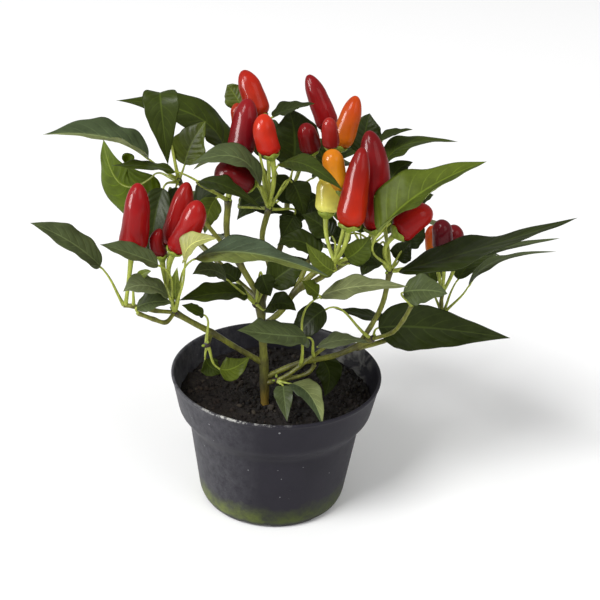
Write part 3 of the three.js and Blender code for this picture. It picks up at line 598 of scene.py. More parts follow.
# ------------------------------------------------------------------ leafy sprays
# Each shoot's leaves, leaf stalks, fruit stalks and green calyces, round one swollen joint. Blades are
# smooth, dark and slightly glossy above and paler below, with a pale midrib and arching side veins. They
# are closed curved grids, folded along the midrib, waved at the margin and puckered between the veins.

BLADE_THICKNESS = 0.55
BLADE_ROWS = 44
BLADE_COLUMNS = 25
BASE_ROUND = 0.62
TIP_TAPER = 1.1
BASE_HALF_WIDTH = 0.9
MARGIN_WAVE = 0.12            # these three are shares of the half width
RUFFLE = 0.06
PUCKER = 0.06
SIDE_VEINS = 8
VEIN_SLANT = 0.24
STALK_RADIUS = 0.8
SIDE_STEM_RADIUS = 1.1
PEDICEL_RADIUS = 1.1
JOINT_RADIUS = 2.3
CALYX_LENGTH = 6
CALYX_TEETH = 5
STALK_GREEN, CALYX_GREEN = linear("#a0aa46"), linear("#869634")

# Colours of a blade's two upper halves and of its underside, by its age. Where the two halves differ, the
# difference is painted light, and some whole tones are painted light too, as marked at each tone.
LEAF_TONES = {
    "dark": ("#303a13", "#303a13", "#5c6b38"),
    "deep": ("#3c4815", "#3c4815", "#6f7c41"),
    # Painted light: a grey sheen on the upper side.
    "grey": ("#55603c", "#55603c", "#848f58"),
    # Painted light: the first half's pale colour is painted sheen.
    "painted_sheen_half": ("#868f5c", "#4f5c3e", "#8f9862"),
    # Painted light: a grey sheen on the first half and a paler painted sheen on the second.
    "teal": ("#526049", "#737d42", "#97a06a"),
    "olive": ("#58641f", "#58641f", "#858f4c"),
    # Painted light: the second half is darker with painted shade.
    "vivid": ("#5c6a20", "#505e1e", "#8d9a4c"),
    # Painted light: the yellow-green of light shining through a backlit blade, on both sides.
    "painted_backlight": ("#607410", "#607410", "#5d7010"),
    "pale": ("#7d845a", "#7d845a", "#a5ad70"),
    "cream": ("#b3b46c", "#a9ac66", "#b4b874"),
    "fresh": ("#869440", "#869440", "#9aa650"),
    "sage": ("#6a7350", "#6a7350", "#8f9862"),
}

# Side stems of a spray, each a path that starts at its joint.
SIDE_STEMS = {
    "left": [
        [[-55, -37, 134], [-65, -40, 136], [-76, -42, 139], [-81, -42, 139.5]],
        [[-55, -37, 134], [-59, -43, 131], [-65, -46, 134], [-73, -46, 137]],
    ],
    "far_right": [[[94, 14, 114], [93, 16, 120], [93, 17, 126]]],
    "low_right": [[[52, -14, 111], [62, -24, 121], [66, -33, 133], [69, -39, 145]]],
    "low_front": [
        [[0, -18.5, 84.5], [6, -20, 89], [13, -21, 96], [27, -25, 112]],
        [[0, -18.5, 84.5], [9, -19, 87], [18, -19, 91], [21, -19, 96]],
    ],
}

# A leaf is blade base, middle of midrib, tip, width, way its upper side faces, fold and tone. Where its
# stalk starts away from the joint, its foot follows, and then how much its second half narrows at the base.
LEAVES = {
    "left": [
        (
            [-92, -46, 163], [-106, -52, 178.5], [-123, -60, 191],
            19, [0, -0.5, 1], 0.3, "grey", [-81, -42, 139.5],
        ),
        ([-74, -43, 154], [-70, -44, 159], [-66, -45, 161], 5, [0, -1, 0.6], 0.2, "fresh", [-76, -42, 139]),
        ([-54, -40, 143], [-54, -42, 153], [-53, -43, 163], 7, [-0.3, -1, 0.3], 0.3, "fresh"),
        ([-62, -52, 168], [-75, -58, 176], [-89, -62, 182], 15, [0, -0.4, 1], 0.3, "grey"),
        ([-58, -44, 147], [-69, -50, 155], [-79, -56, 154], 20, [0, -0.3, 1], 0.2, "sage"),
        ([-73, -49, 142], [-64, -50, 146], [-55, -51, 146], 13, [0, -0.5, 1], 0.2, "grey", [-73, -46, 137]),
        ([-48, -57, 173], [-44, -59, 183], [-32, -60, 187], 16, [-1, -0.6, 0.9], 0.25, "cream"),
        ([-43, -46, 170], [-15, -56, 178], [24, -64, 171], 28, [0, -0.05, 1], 0.15, "teal"),
    ],
    "upper_left": [
        ([-73, 2, 205], [-94, -5, 217.5], [-125, -12, 220], 29, [0, -0.15, 1], 0.4, "painted_sheen_half"),
        ([-72, 14, 191], [-90, 18, 184], [-100, 24, 207], 39, [0, 1, 0.3], 0.1, "painted_backlight"),
        ([-67, 8, 239], [-65, -4, 233], [-62, -2, 203], 20, [0.1, -1, 0.6], 0.25, "deep"),
        ([-54, 6, 201], [-50, 8, 213], [-43, 8, 225], 21, [-0.4, -1, 0.4], 0.15, "olive"),
        ([-64, -8, 192], [-68, -15, 175], [-69, -16, 153], 17, [-0.2, -1, 0.1], 0.25, "dark"),
        ([-58, 0, 190], [-59, -2, 172], [-57, -4, 153], 18, [0.3, -1, 0.1], 0.25, "dark"),
    ],
    "top_left": [
        ([-33, 20, 202], [-50, 25, 222], [-91, 14, 232], 30, [0.3, -0.45, 1], 0.1, "deep"),
        ([-43, -23, 203], [-29, -31, 203], [-11, -33, 193], 16, [0.3, -0.2, 1], 0.1, "dark"),
        ([-59, -2, 200], [-73, -8, 204], [-90, -12, 205], 15, [0.2, 0, 1], 0.1, "deep"),
        ([-37, 7, 182], [-41, 9, 173], [-43, 9, 160], 14, [-0.2, -1, 0], 0.25, "olive"),
    ],
    "top": [
        ([-24, 34, 224], [-30, 38, 232], [-34, 40, 236], 14, [-0.3, -1, 0.3], 0.2, "olive"),
        ([-8, 12, 228], [2, 14, 232], [14, 12, 236], 16, [0, -0.1, 1], 0.2, "dark"),
        ([4, 12, 200], [4, 16, 217], [0, 18, 231], 30, [0.2, -1, 0.5], 0.15, "dark"),
        ([-2, -16, 212], [11, -30, 216], [29, -41, 208], 15, [0.1, -0.4, 1], 0.1, "deep"),
        ([4, 2, 195], [8, -1, 188], [11, -4, 178], 16, [0.4, -1, 0.6], 0.2, "dark"),
        ([-7, 20, 190], [1, 22, 182], [8, 24, 174], 15, [0, -1, 0.6], 0.15, "dark"),
        ([-23, 9, 177], [-4, 7, 176.5], [15, 5, 172], 15, [0.2, 0, 1], 0.1, "dark"),
        ([6, 4, 176], [3, 3, 170], [-1, 0, 163], 14, [0.3, -1, 0.5], 0.2, "dark"),
        ([-13, -13, 198], [-26, -16, 214], [-49, -22, 210.5], 19, [0.1, -0.5, 1], 0.25, "grey"),
    ],
    "top_right": [
        ([42, 26, 205], [43, 31, 216], [45, 36, 225], 21, [0, -1, 0.4], 0.25, "dark"),
        ([49, 20, 214], [59, 21, 219], [68, 23, 221], 10, [0, 0, 1], 0.3, "dark"),
        ([22, 22, 196], [18, 34, 204], [12, 46, 206], 24, [0, 0.2, 1], 0.2, "deep"),
        ([30, 40, 196], [41, 54, 203], [50, 68, 196], 24, [0, 0.2, 1], 0.2, "deep"),
        ([19, 10, 184], [12, 13, 177], [10, 15, 167], 15, [0, -1, 0.5], 0.2, "dark"),
    ],
    "front_right": [
        ([34, -31, 167], [40, -33, 173], [45, -33, 181], 16, [0.4, -1, 0.5], 0.2, "vivid"),
        ([27, -37, 162], [20, -38, 167], [12, -36, 177], 12, [0.6, -1, 0.7], 0.1, "olive"),
        ([36, -22, 160], [44, -18, 160], [52, -17, 157], 13, [0, -0.4, 1], 0.2, "dark"),
        ([20, -20, 164], [8, -14, 168], [-3, -12, 164], 18, [0, -0.4, 1], 0.2, "dark"),
        ([26, -14, 172], [19, -10, 177], [10, -8, 181], 16, [0, -1, 0.7], 0.2, "dark"),
    ],
    "right": [
        ([49, -38, 185], [69, -33, 205.5], [102, -22, 220], 34, [-0.5, -0.35, 1], 0.36, "vivid", None, 0.75),
        ([64, -12, 152], [105, -16, 169], [156, -10, 187], 34, [-0.4, 0.05, 1], 0.08, "dark"),
        ([84, 2, 152.5], [122, 4, 162], [152, 4, 169], 10, [-0.3, -0.1, 1], 0.1, "grey"),
        ([54, 17, 202], [66, 21, 213], [94, 28, 213.5], 18, [0, -0.1, 1], 0.2, "deep"),
        ([57, 14, 192], [62, 20, 199], [70, 24, 202], 13, [0, -0.5, 1], 0.2, "dark"),
        ([67, -4, 164], [71, -1, 171], [72, 1, 180], 15, [0.3, -1, 0.3], 0.2, "dark"),
        ([64, -4, 155], [66, -6, 162], [70, -7, 168], 13, [-0.3, -1, 0.3], 0.2, "dark"),
        ([53, -8, 166], [48, -10, 157], [44, -9, 147], 14, [0.2, -1, 0.3], 0.2, "dark"),
        ([37, 0, 168], [31, 0, 166], [26, 2, 162], 12, [-0.2, -1, 0.5], 0.2, "dark"),
    ],
    "far_right": [
        ([108, 18, 132], [123, 18, 148], [155, 18, 155], 13, [-0.5, 0.1, 1], 0.1, "grey"),
        ([69, 14, 108], [52, 12, 112], [31, 10, 117], 16, [0.2, 0, 1], 0.1, "dark", [93.5, 15.8, 114.6]),
        ([104, 34, 128], [117, 46, 137], [132, 57, 134], 22, [0, 0, 1], 0.2, "deep"),
        ([88, 30, 126], [86, 46, 130], [84, 62, 124], 22, [0, 0.2, 1], 0.2, "deep"),
    ],
    "low_right": [
        ([56, -6, 114], [83, -1, 113], [133, 4, 106], 29, [0.1, -1, 0.5], 0.3, "dark"),
        ([64, -40, 153], [75, -43, 156], [86, -46, 156], 20, [-0.3, -0.5, 1], 0.1, "grey", [69, -39, 145]),
        ([25, -14, 128], [16, -16, 120], [10, -15, 107], 18, [-0.6, -1, 0.5], 0.2, "dark"),
    ],
    "low_left": [
        ([-39, -29, 102], [-36, -27, 96], [-29, -27, 93], 12, [0, -1, 0.5], 0.3, "deep"),
        ([-31, -30, 97], [-24, -27, 96], [-15, -22, 101], 14, [0, -1, 0.6], 0.2, "olive"),
        ([-40, -36, 133], [-45, -39, 137], [-51, -42, 141], 8, [0, -0.6, 1], 0.2, "deep"),
    ],
    "low_front": [
        ([22, -29, 113], [36, -30, 118], [50, -26, 115], 15, [0, 0, 1], 0.15, "sage", [27, -25, 112]),
        ([15, -36, 122], [-3, -50, 130], [-21, -58, 136], 26, [0, -0.25, 1], 0.15, "grey", [20, -23, 104]),
        ([25, -9, 94], [30, -8, 84], [28, -12, 71.5], 16, [0.2, -1, 0.3], 0.2, "dark", [18, -19, 91]),
        ([4, -24, 84], [5, -32, 81], [7, -43, 73], 12, [-0.2, -0.6, 1], 0.35, "grey"),
        ([9, -26, 87], [19, -38, 87], [26, -50, 76], 15, [0.2, -0.5, 1], 0.3, "painted_sheen_half"),
        ([22, -36, 147], [41, -42, 156], [65, -48, 160], 20, [-0.3, -0.1, 1], 0.1, "pale", [13, -21, 96]),
        ([20, -37, 148], [16, -38, 152], [11, -38, 156], 12, [0.9, -0.7, 1], 0.1, "olive", [22, -36, 146]),
    ],
    "centre": [
        ([-18, -20, 138], [-34, -27, 141], [-53, -35, 140], 20, [0, -0.2, 1], 0.2, "deep"),
        ([-6, -14, 142], [4, -12, 150], [14, -10, 156], 20, [-0.2, -0.8, 0.6], 0.2, "deep"),
        ([-7, -25, 132], [1, -31, 139], [9, -33, 136], 15, [0, -0.5, 1], 0.2, "dark"),
        ([-24, -8, 140], [-32, -2, 142], [-42, 4, 138], 16, [0, -0.3, 1], 0.2, "dark"),
        ([-29, -28, 151], [-37, -32, 157], [-46, -36, 156], 15, [0, -0.4, 1], 0.2, "grey"),
        ([-10, -20, 150], [-8, -20, 144], [-5, -19, 137], 12, [0.3, -1, 0.2], 0.2, "dark"),
    ],
    "back": [
        ([4, 62, 180], [6, 84, 188], [8, 108, 178], 26, [0, 0.3, 1], 0.2, "deep"),
        ([-12, 58, 176], [-34, 72, 182], [-56, 84, 170], 25, [0, 0.3, 1], 0.2, "olive"),
        ([16, 58, 178], [38, 68, 184], [60, 78, 172], 25, [0, 0.3, 1], 0.2, "deep"),
        ([-8, 46, 192], [-12, 52, 206], [-14, 64, 210], 22, [0, -1, 0.6], 0.2, "dark"),
        ([8, 66, 160], [14, 84, 152], [18, 98, 138], 24, [0, 0.8, 0.8], 0.2, "deep"),
        ([-10, 60, 158], [-18, 74, 152], [-26, 90, 140], 24, [-0.2, 0.8, 0.8], 0.2, "olive"),
        ([-8, 40, 174], [-16, 28, 174], [-26, 19, 165], 18, [0, -0.6, 1], 0.2, "dark"),
    ],
    "back_left": [
        ([-64, 36, 160], [-78, 48, 166], [-94, 60, 154], 24, [0, 0.2, 1], 0.2, "deep"),
        ([-54, 40, 158], [-56, 60, 164], [-58, 82, 152], 26, [0, 0.2, 1], 0.2, "olive"),
        ([-48, 42, 142], [-42, 58, 138], [-38, 76, 128], 24, [0, 0.6, 1], 0.2, "dark"),
        ([-46, 32, 168], [-38, 42, 176], [-32, 52, 176], 20, [0, 0.2, 1], 0.2, "deep"),
        ([-50, 28, 168], [-42, 28, 176], [-33, 27, 178], 18, [0, -0.6, 1], 0.2, "dark"),
    ],
    "back_right": [
        ([60, 44, 150], [78, 54, 156], [98, 64, 144], 24, [0, 0.2, 1], 0.2, "olive"),
        ([46, 50, 148], [46, 70, 152], [44, 92, 138], 26, [0, 0.2, 1], 0.2, "deep"),
        ([62, 38, 160], [74, 40, 172], [86, 44, 176], 20, [0.2, -0.3, 1], 0.2, "deep"),
        ([38, 48, 132], [28, 62, 132], [18, 78, 124], 22, [0, 0.6, 1], 0.2, "dark"),
        ([38, 44, 156], [30, 54, 160], [22, 64, 156], 20, [0, 0.2, 1], 0.2, "olive"),
    ],
}

# A pod is calyx, tip, widest radius, waist and sideways bow, and its stalk's foot if that isn't the joint.
PODS = {
    "left": {
        1: ([-77, -42, 163], [-73, -38, 206], 7.8, 0.25, 0.6, [-80, -42, 139.5]),
        2: ([-59, -28, 161], [-50, -20, 201], 7.2, 0.3, 0),
        3: ([-57, -42, 166], [-42, -44, 200], 6.4, 0, 1.5),
        4: ([-61, -38, 160], [-63, -36, 181], 4.2, 0.2, -2),
    },
    "top_left": {
        5: ([-25, 3, 202], [-21, 10, 238], 7.9, 0.25, 0),
    },
    "top": {
        6: ([-12, -6, 195.5], [-36, -15, 206], 8.2, 0, 0),
        7: ([-13, 18, 219], [-25, 28, 248], 7.2, 0.25, 0.6),
        8: ([-24, 24, 211], [-28, 27, 230], 4.6, 0.2, 0),
        9: ([-6, -11, 208], [-13, -7, 235], 6.2, 0.1, -1),
    },
    "top_right": {
        10: ([26, 32, 210], [10, 40, 244], 6.8, 0.3, 0.4),
        11: ([15, 6, 206], [9, 2, 228], 6, 0.2, 0),
        12: ([24, -3, 212], [21, -9, 235], 4.8, 0.2, 0),
        13: ([26, 10, 207], [36, 17, 240], 6.9, 0.3, 0.6),
    },
    "front_right": {
        14: ([31, -24, 195], [22, -20, 222], 6.6, -0.45, 0),
        15: ([33, -38, 181], [38, -29, 227], 8.3, 0.4, 0),
        16: ([49, -21, 173], [42, -10, 230], 8.4, 0.15, 1.6),
        17: ([22, -17, 179], [24, -9, 204], 7.4, -0.15, 0),
    },
    "right": {
        18: ([55, -24, 175], [77, -17, 191.5], 7.7, 0.1, -1),
    },
    "far_right": {
        19: ([89, 24, 142], [84, 24, 165], 5.4, 0.2, 0, [93, 17, 126]),
        20: ([91, 11, 150], [87, 11, 174], 6, 0.1, 0, [93, 17, 126]),
        21: ([100, 24, 143], [96, 24, 166], 6, 0.15, 0, [93, 17, 126]),
    },
    "back": {
        22: ([8, 58, 180], [10, 58, 206], 6.2, 0.2, 0),
    },
    "back_left": {
        23: ([-67, 20, 148], [-66, 20, 174], 6, 0.2, 0),
    },
    "back_right": {
        24: ([54, 46, 158], [58, 48, 190], 6.4, 0.2, 0),
    },
}


def stalk_start(joint, towards, foot=None):
    """Where a stalk starts: at its foot, or just inside its joint on the side that it grows towards."""
    return joint + 0.5 * JOINT_RADIUS * unit(towards - joint) if foot is None else np.array(foot, float)


def cubic(start, near_start, near_end, end, count):
    """Points of a cubic Bezier curve."""
    t = np.linspace(0, 1, count)[:, None]
    near = 3 * t * (1 - t) ** 2 * near_start + 3 * t**2 * (1 - t) * near_end
    return (1 - t) ** 3 * start + near + t**3 * end


def blade_half_width(t, width):
    """Half the width along a blade, 0 at its base to 1 at its point: ovate, with a drawn-out tip."""
    widest = BASE_ROUND / (BASE_ROUND + TIP_TAPER)
    outline = (t / widest) ** BASE_ROUND * ((1 - t) / (1 - widest)) ** TIP_TAPER
    return width / 2 * outline + BASE_HALF_WIDTH * (1 - t) ** 4


def midrib_frames(base, mid, tip, face, t):
    """Points along the arched midrib, with the way along it, across the blade and out of its upper side."""
    control = 2 * mid - 0.5 * base - 0.5 * tip
    spine = (1 - t) ** 2 * base + 2 * t * (1 - t) * control + t**2 * tip
    along = unit((1 - t) * (control - base) + t * (tip - control))
    across = unit(np.cross(tip - base, face))
    side = unit(across - (along @ across)[:, None] * along)
    return spine, along, side, np.cross(side, along)


def leaf_surfaces(joint, seed, base, mid, tip, width, face, fold, tone, foot=None, narrowing=0):
    """A leaf's blade and its stalk, which runs on as the midrib under the blade. Across the blade, s goes
    from -1 to 1 over the upper side and back under it. The two halves rise by the fold angle, the margins
    wave and are slightly frilled, and the surface bulges between side veins that slant towards the tip."""
    base, mid, tip = (np.array(place, float) for place in (base, mid, tip))
    foot = stalk_start(joint, base, foot)
    first_tint, second_tint, lower_tint = (linear(colour) for colour in LEAF_TONES[tone])
    even = np.linspace(0, 1, BLADE_ROWS)
    t = (even - 0.07 * np.sin(2 * np.pi * even))[:, None]
    spine, along, side, normal = midrib_frames(base, mid, tip, face, t)
    over = np.linspace(-1, 1, BLADE_COLUMNS)
    s = np.concatenate([over, over[-2:0:-1]])[None]
    is_upper = np.arange(s.size)[None] < BLADE_COLUMNS
    half = blade_half_width(t, width)
    reach = np.abs(s)
    frill = 0.025 * np.sin(19 * t + 2 * np.sign(s) + 3 * seed) + 0.015 * np.sin(37 * t - np.sign(s) + seed)
    frilled = 1 + reach * (frill - 0.05) - narrowing * np.clip(3 * s, 0, 1) * (1 - t) ** 2
    wave = MARGIN_WAVE * half * np.sin(9 * t + 1.7 * s)
    ruffle = RUFFLE * half * np.sin(21 * t + 2.5 * s + seed)
    vein = SIDE_VEINS * (t - VEIN_SLANT * reach**1.25) + 0.25 * np.clip(s / 0.08, -1, 1) + 0.37 * seed
    pucker = PUCKER * half * np.sin(np.pi * reach) ** 0.8 * (np.abs(np.sin(np.pi * vein)) - 0.45)
    rise = reach**1.25 * half * np.sin(fold) + s**2 * (wave + ruffle) + pucker
    side_sign = np.where(is_upper, 1, -1)
    thickness = 0.5 * BLADE_THICKNESS * (1 - s**6) * side_sign * np.clip((1.02 - t) * 6, 0.2, 1)
    blade = (
        spine[:, None] + (s * half * frilled * np.cos(fold))[..., None] * side[:, None]
        + (rise + thickness)[..., None] * normal[:, None]
    )
    blade = np.concatenate([np.broadcast_to(spine[0], blade[:1].shape), blade])
    # The second upper half's colour blends in across the midrib, so the halves differ by painted sheen and
    # painted shade.
    second_share = np.clip(0.5 + 4 * s, 0, 1)[..., None]
    upper_tint = first_tint + (second_tint - first_tint) * second_share
    tint = np.where(is_upper[..., None], upper_tint, lower_tint)
    pattern = np.stack(np.broadcast_arrays(vein, s), -1)
    pattern = np.concatenate([pattern[:1], pattern])
    stalk_reach = np.linalg.norm(base - foot)
    stalk = cubic(foot, foot + 0.4 * (base - foot), base - 0.4 * stalk_reach * along[0], base, 14)[:-1]
    rib_radius = 0.6 * STALK_RADIUS * (1 - t) ** 0.8 + 0.1
    rib = spine - 0.75 * rib_radius * normal
    path = np.vstack([stalk, rib[:-2]])
    share = np.linspace(0, 1, len(stalk))
    stalk_radius = STALK_RADIUS * (1.1 - 0.5 * share + 0.4 * (1 - share) ** 8)
    radius = np.concatenate([stalk_radius, rib_radius[:-2, 0]])
    lower_share = np.linspace(0, 1, len(path))[:, None] ** 2 * 0.6
    rib_tint = STALK_GREEN + (lower_tint - STALK_GREEN) * lower_share
    return [surface(blade, uv=pattern, tint=tint), tube(path, radius, rib_tint, material=1, sides=9)]


def turning(direction):
    """The matrix that turns +Z to a direction the short way."""
    axis = np.cross([0, 0, 1], direction)
    cross = np.array([[0, -axis[2], axis[1]], [axis[2], 0, -axis[0]], [-axis[1], axis[0], 0]])
    return np.eye(3) + cross + cross @ cross / (1 + direction[2])


def calyx_surfaces(joint, seed, calyx, tip, radius, waist, foot=None):
    """A fruit stalk that thickens upwards, and its calyx: a shallow cup with blunt teeth, turned about the
    fruit's axis, that holds the fruit's base."""
    calyx, tip = np.array(calyx, float), np.array(tip, float)
    foot = stalk_start(joint, calyx, foot)
    direction = unit(tip - calyx)
    brim = calyx + CALYX_LENGTH * direction
    reach = np.linalg.norm(brim - foot)
    path = cubic(foot, foot + 0.3 * (calyx - foot), brim - 0.5 * reach * direction, brim, 22)
    share = np.linspace(0, 1, len(path))
    stalk_radius = PEDICEL_RADIUS * (0.85 + 0.25 * share + 0.45 * share**6 + 0.35 * (1 - share) ** 8)
    seat = radius * (1 + min(waist, 0))
    cup = refined(np.array([
        (0, -3.2), (1.2, -3.2), (1.7, -2.4), (0.42 * seat + 0.5, -1.3), (0.58 * seat + 0.5, -0.5),
        (0.66 * seat + 0.45, 0.4), (0.69 * seat + 0.35, 1.0), (0.67 * seat, 1.05), (0.6 * seat, 0.6),
        (0, 0.2),
    ]), 0.5)
    angle = np.linspace(0, 2 * np.pi, 40, endpoint=False)
    points = turned(cup, angle)
    teeth = np.clip((cup[:, 1:] + 0.6) / 1.6, 0, 1) * (0.55 * np.cos(CALYX_TEETH * angle + seed))
    points[..., 2] += teeth * (cup[:, :1] > 0.3 * seat)
    return [
        tube(path, stalk_radius, STALK_GREEN * (1 + 0.1 * np.sin(2 * seed)), material=1),
        surface(
            points @ turning(direction).T + brim, material=1, tint=CALYX_GREEN * (1 + 0.12 * np.sin(seed))
        ),
    ]


def joint_surfaces(joint, seed):
    """A swollen joint: a lumpy ball, stained dark, with two small green buds."""
    unit_ball = ball(12, 18)[::-1]
    lumps = 1 + 0.10 * ripples(unit_ball * JOINT_RADIUS, 3.2, seed)
    points = joint + 0.84 * JOINT_RADIUS * lumps[..., None] * unit_ball
    made = [surface(points, material=1, tint=JOINT_STAIN)]
    share = np.linspace(0, 1, 9)
    bud_radius = 0.75 * np.sin(np.pi * (0.15 + 0.85 * share)) ** 0.7
    draw = np.random.default_rng(seed)
    for heading in unit(draw.normal(size=(2, 3)) + [0, -0.4, 0.9]):
        path = joint + (0.6 + 1.1 * share)[:, None] * JOINT_RADIUS * heading
        made.append(tube(path, bud_radius, CALYX_GREEN, material=1, sides=8))
    return made


def side_stem_surface(corners):
    """A green side stem, a little swollen and stained at its own joints."""
    path = smooth_path(corners)
    radius = SIDE_STEM_RADIUS + 0.25 * nearness(path, corners[1:], 2.0)
    stain = 0.35 * nearness(path, corners[1:], 2.2)[:, None]
    return tube(path, radius, OLIVE_STEM + (JOINT_STAIN - OLIVE_STEM) * stain, material=1)


def pepper_leaf(tree):
    """Living leaf: a waxy, softly glossy skin over tissue that lets some light through. The pattern's
    first number counts side veins and its second runs from margin to margin."""
    place = add(tree, "ShaderNodeTexCoord").outputs["Object"]
    pattern = add(tree, "ShaderNodeUVMap", uv_map="Pattern")
    counted, across = add(tree, "ShaderNodeSeparateXYZ", {0: pattern}).outputs[:2]
    from_centre = add(tree, "ShaderNodeMath", {0: across}, operation="ABSOLUTE")
    off_vein = add(tree, "ShaderNodeMath", {0: counted, 1: 0.5}, operation="PINGPONG")
    mottle = add(
        tree, "ShaderNodeTexNoise",
        {"Vector": place, "Scale": per_metre(8.33), "Detail": 5.0, "Roughness": 0.6},
    )
    # Each ramp is what it follows, where it starts and ends, and what it gives there.
    midrib, vein, fading, shade = (
        add(
            tree, "ShaderNodeMapRange",
            {"Value": value, "From Min": start, "From Max": end, "To Min": low, "To Max": high},
        )
        for value, start, end, low, high in (
            (from_centre, 0.06, 0.02, 0.0, 1.0), (off_vein, 0.075, 0.02, 0.0, 1.0),
            (from_centre, 0.95, 0.3, 0.05, 0.5), (mottle, 0.3, 0.7, 0.78, 1.22),
        )
    )
    side_vein = add(tree, "ShaderNodeMath", {0: vein, 1: fading}, operation="MULTIPLY")
    ribs = add(tree, "ShaderNodeMath", {0: side_vein, 1: midrib}, operation="MAXIMUM")
    ribbed = add(tree, "ShaderNodeMath", {0: ribs, 1: 0.95, 2: shade}, operation="MULTIPLY_ADD")
    colour = own_tint(tree, ribbed)
    # The net of fine veins is far finer on a real leaf. Here it is as coarse as it needs to show.
    cells = add(tree, "ShaderNodeTexVoronoi", {"Vector": place, "Scale": per_metre(1.11)})
    bump = add(tree, "ShaderNodeBump", {"Height": cells, "Distance": 0.0001, "Strength": 0.35})
    skin = add(
        tree, "ShaderNodeBsdfPrincipled",
        {"Base Color": colour, "Roughness": 0.42, "Specular IOR Level": 0.14, "Normal": bump},
    )
    # Light that comes through the blade is yellower than light off its skin.
    through = add(
        tree, "ShaderNodeMix", {FACTOR: 1.0, FIRST: colour, SECOND: (1.0, 1.0, 0.35, 1.0)},
        data_type="RGBA", blend_type="MULTIPLY",
    )
    glow = add(tree, "ShaderNodeBsdfTranslucent", {"Color": through.outputs[MIXED]})
    return add(tree, "ShaderNodeMixShader", {0: 0.3, 1: skin, 2: glow})


leaf_skin = material_of("waxy pepper leaf", pepper_leaf)
for number, (spray_name, leaves) in enumerate(LEAVES.items()):
    spray_joint = np.array(BRANCHES[spray_name][1][-1], float)
    spray_surfaces = joint_surfaces(spray_joint, number + 1)
    spray_surfaces += [side_stem_surface(corners) for corners in SIDE_STEMS.get(spray_name, [])]
    for order, leaf in enumerate(leaves):
        spray_surfaces += leaf_surfaces(spray_joint, number + 0.7 * order, *leaf)
    for order, (calyx, tip, radius, waist, _, *foot) in enumerate(PODS.get(spray_name, {}).values()):
        spray_surfaces += calyx_surfaces(spray_joint, number + order, calyx, tip, radius, waist, *foot)
    leafy_spray = build(
        f"leafy_spray_{spray_name}", spray_surfaces, [leaf_skin, stem_skin], f"spray_{spray_name}"
    )

# ------------------------------------------------------------------ chilli fruits
# Upright conical peppers that ripen from pale yellow through orange to deep red, with a thin, tight and
# very glossy skin. Each is a closed turned shape with slight lobes and dents, on a bowed axis.

FRUIT_ROWS = 52
FRUIT_SIDES = 44
SHOULDER_END = 0.2
SHOULDER_DROP = 0.82
CAP_START = 0.62
CALYX_GAP = 0.3
LENGTH_SHARE = 0.994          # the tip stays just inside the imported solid's
DENT_DEPTH = 0.12

# Colours at the calyx and at the tip, by the record's slot and the number of the fruit.
FRUIT_COLOURS = {
    "red_fruit": {
        1: ("#860c0e", "#8e1013"), 2: ("#830c0e", "#971713"), 3: ("#900e10", "#9e1714"),
        6: ("#57080d", "#6f0a0f"), 9: ("#aa1a10", "#bc2b11"), 10: ("#870e11", "#810d11"),
        12: ("#871c19", "#94201a"), 15: ("#a8220a", "#7a0f0c"), 16: ("#840b0f", "#700a0f"),
        18: ("#7d0b0e", "#9c1711"), 22: ("#870d10", "#971613"), 24: ("#830b0e", "#941413"),
    },
    "dark_fruit": {
        4: ("#54090b", "#7a0f10"), 5: ("#630b14", "#811116"), 11: ("#57090b", "#6f0b0e"),
        20: ("#480812", "#580a14"), 21: ("#560a10", "#6a0c12"),
    },
    "orange_fruit": {
        7: ("#a3280c", "#a01c0c"), 8: ("#ae3c11", "#a22c11"), 13: ("#bc6410", "#b83e0a"),
        19: ("#c06a14", "#b23c12"), 23: ("#b56411", "#ae3811"),
    },
    "yellow_fruit": {
        14: ("#d0921c", "#cc7610"),
    },
    "pale_fruit": {
        17: ("#f6f27a", "#f3dc52"),
    },
}


def fruit_surface(first_tint, last_tint, seed, calyx, tip, radius, waist, bow):
    """A fruit from its calyx to its tip. Its outline is a rounded shoulder, a side that narrows by the
    waist and a domed cap; two or three shallow lobes and a few dents keep it from being round."""
    calyx, tip = np.array(calyx, float), np.array(tip, float)
    direction = unit(tip - calyx)
    base = calyx + (CALYX_LENGTH + CALYX_GAP) * direction
    length = LENGTH_SHARE * np.linalg.norm(tip - base)
    even = np.linspace(0, 1, FRUIT_ROWS)
    t = (even - 0.12 * np.sin(2 * np.pi * even))[:, None]
    rise = 1 - np.minimum(t / SHOULDER_END, 1)
    fall = np.maximum(t - CAP_START, 0) / (1 - CAP_START)
    slope = 1 - max(waist, 0) * t + min(waist, 0) * (1 - t)
    outline = radius * np.sqrt(1 - SHOULDER_DROP * rise**2) * np.sqrt(1 - fall**2) * slope
    angle = np.linspace(0, 2 * np.pi, FRUIT_SIDES, endpoint=False)[None]
    lobes = 0.022 * np.sin(3 * angle + 1.5 * t + seed) + 0.015 * np.sin(2 * angle - 2 * t + 2 * seed)
    reach = outline * (1 + lobes * np.sin(np.pi * np.clip(1.1 * t, 0, 1)))
    points = np.stack([
        reach * np.cos(angle) + bow * 4 * t * (1 - t), reach * np.sin(angle), length * t + 0 * angle
    ], -1)
    dents = DENT_DEPTH * ripples(points + 40 * seed, 11, 9) * np.sin(np.pi * t)
    points[..., :2] *= (1 + dents / radius)[..., None]
    points = np.concatenate([np.zeros((1, FRUIT_SIDES, 3)), points])
    ripeness = np.vstack([[0], t])[..., None] * 1.3 - 0.1 + 0.1 * np.sin(angle + seed)[..., None]
    tint = first_tint + (last_tint - first_tint) * np.clip(ripeness, 0, 1)
    return surface(points @ turning(direction).T + base, tint=tint)


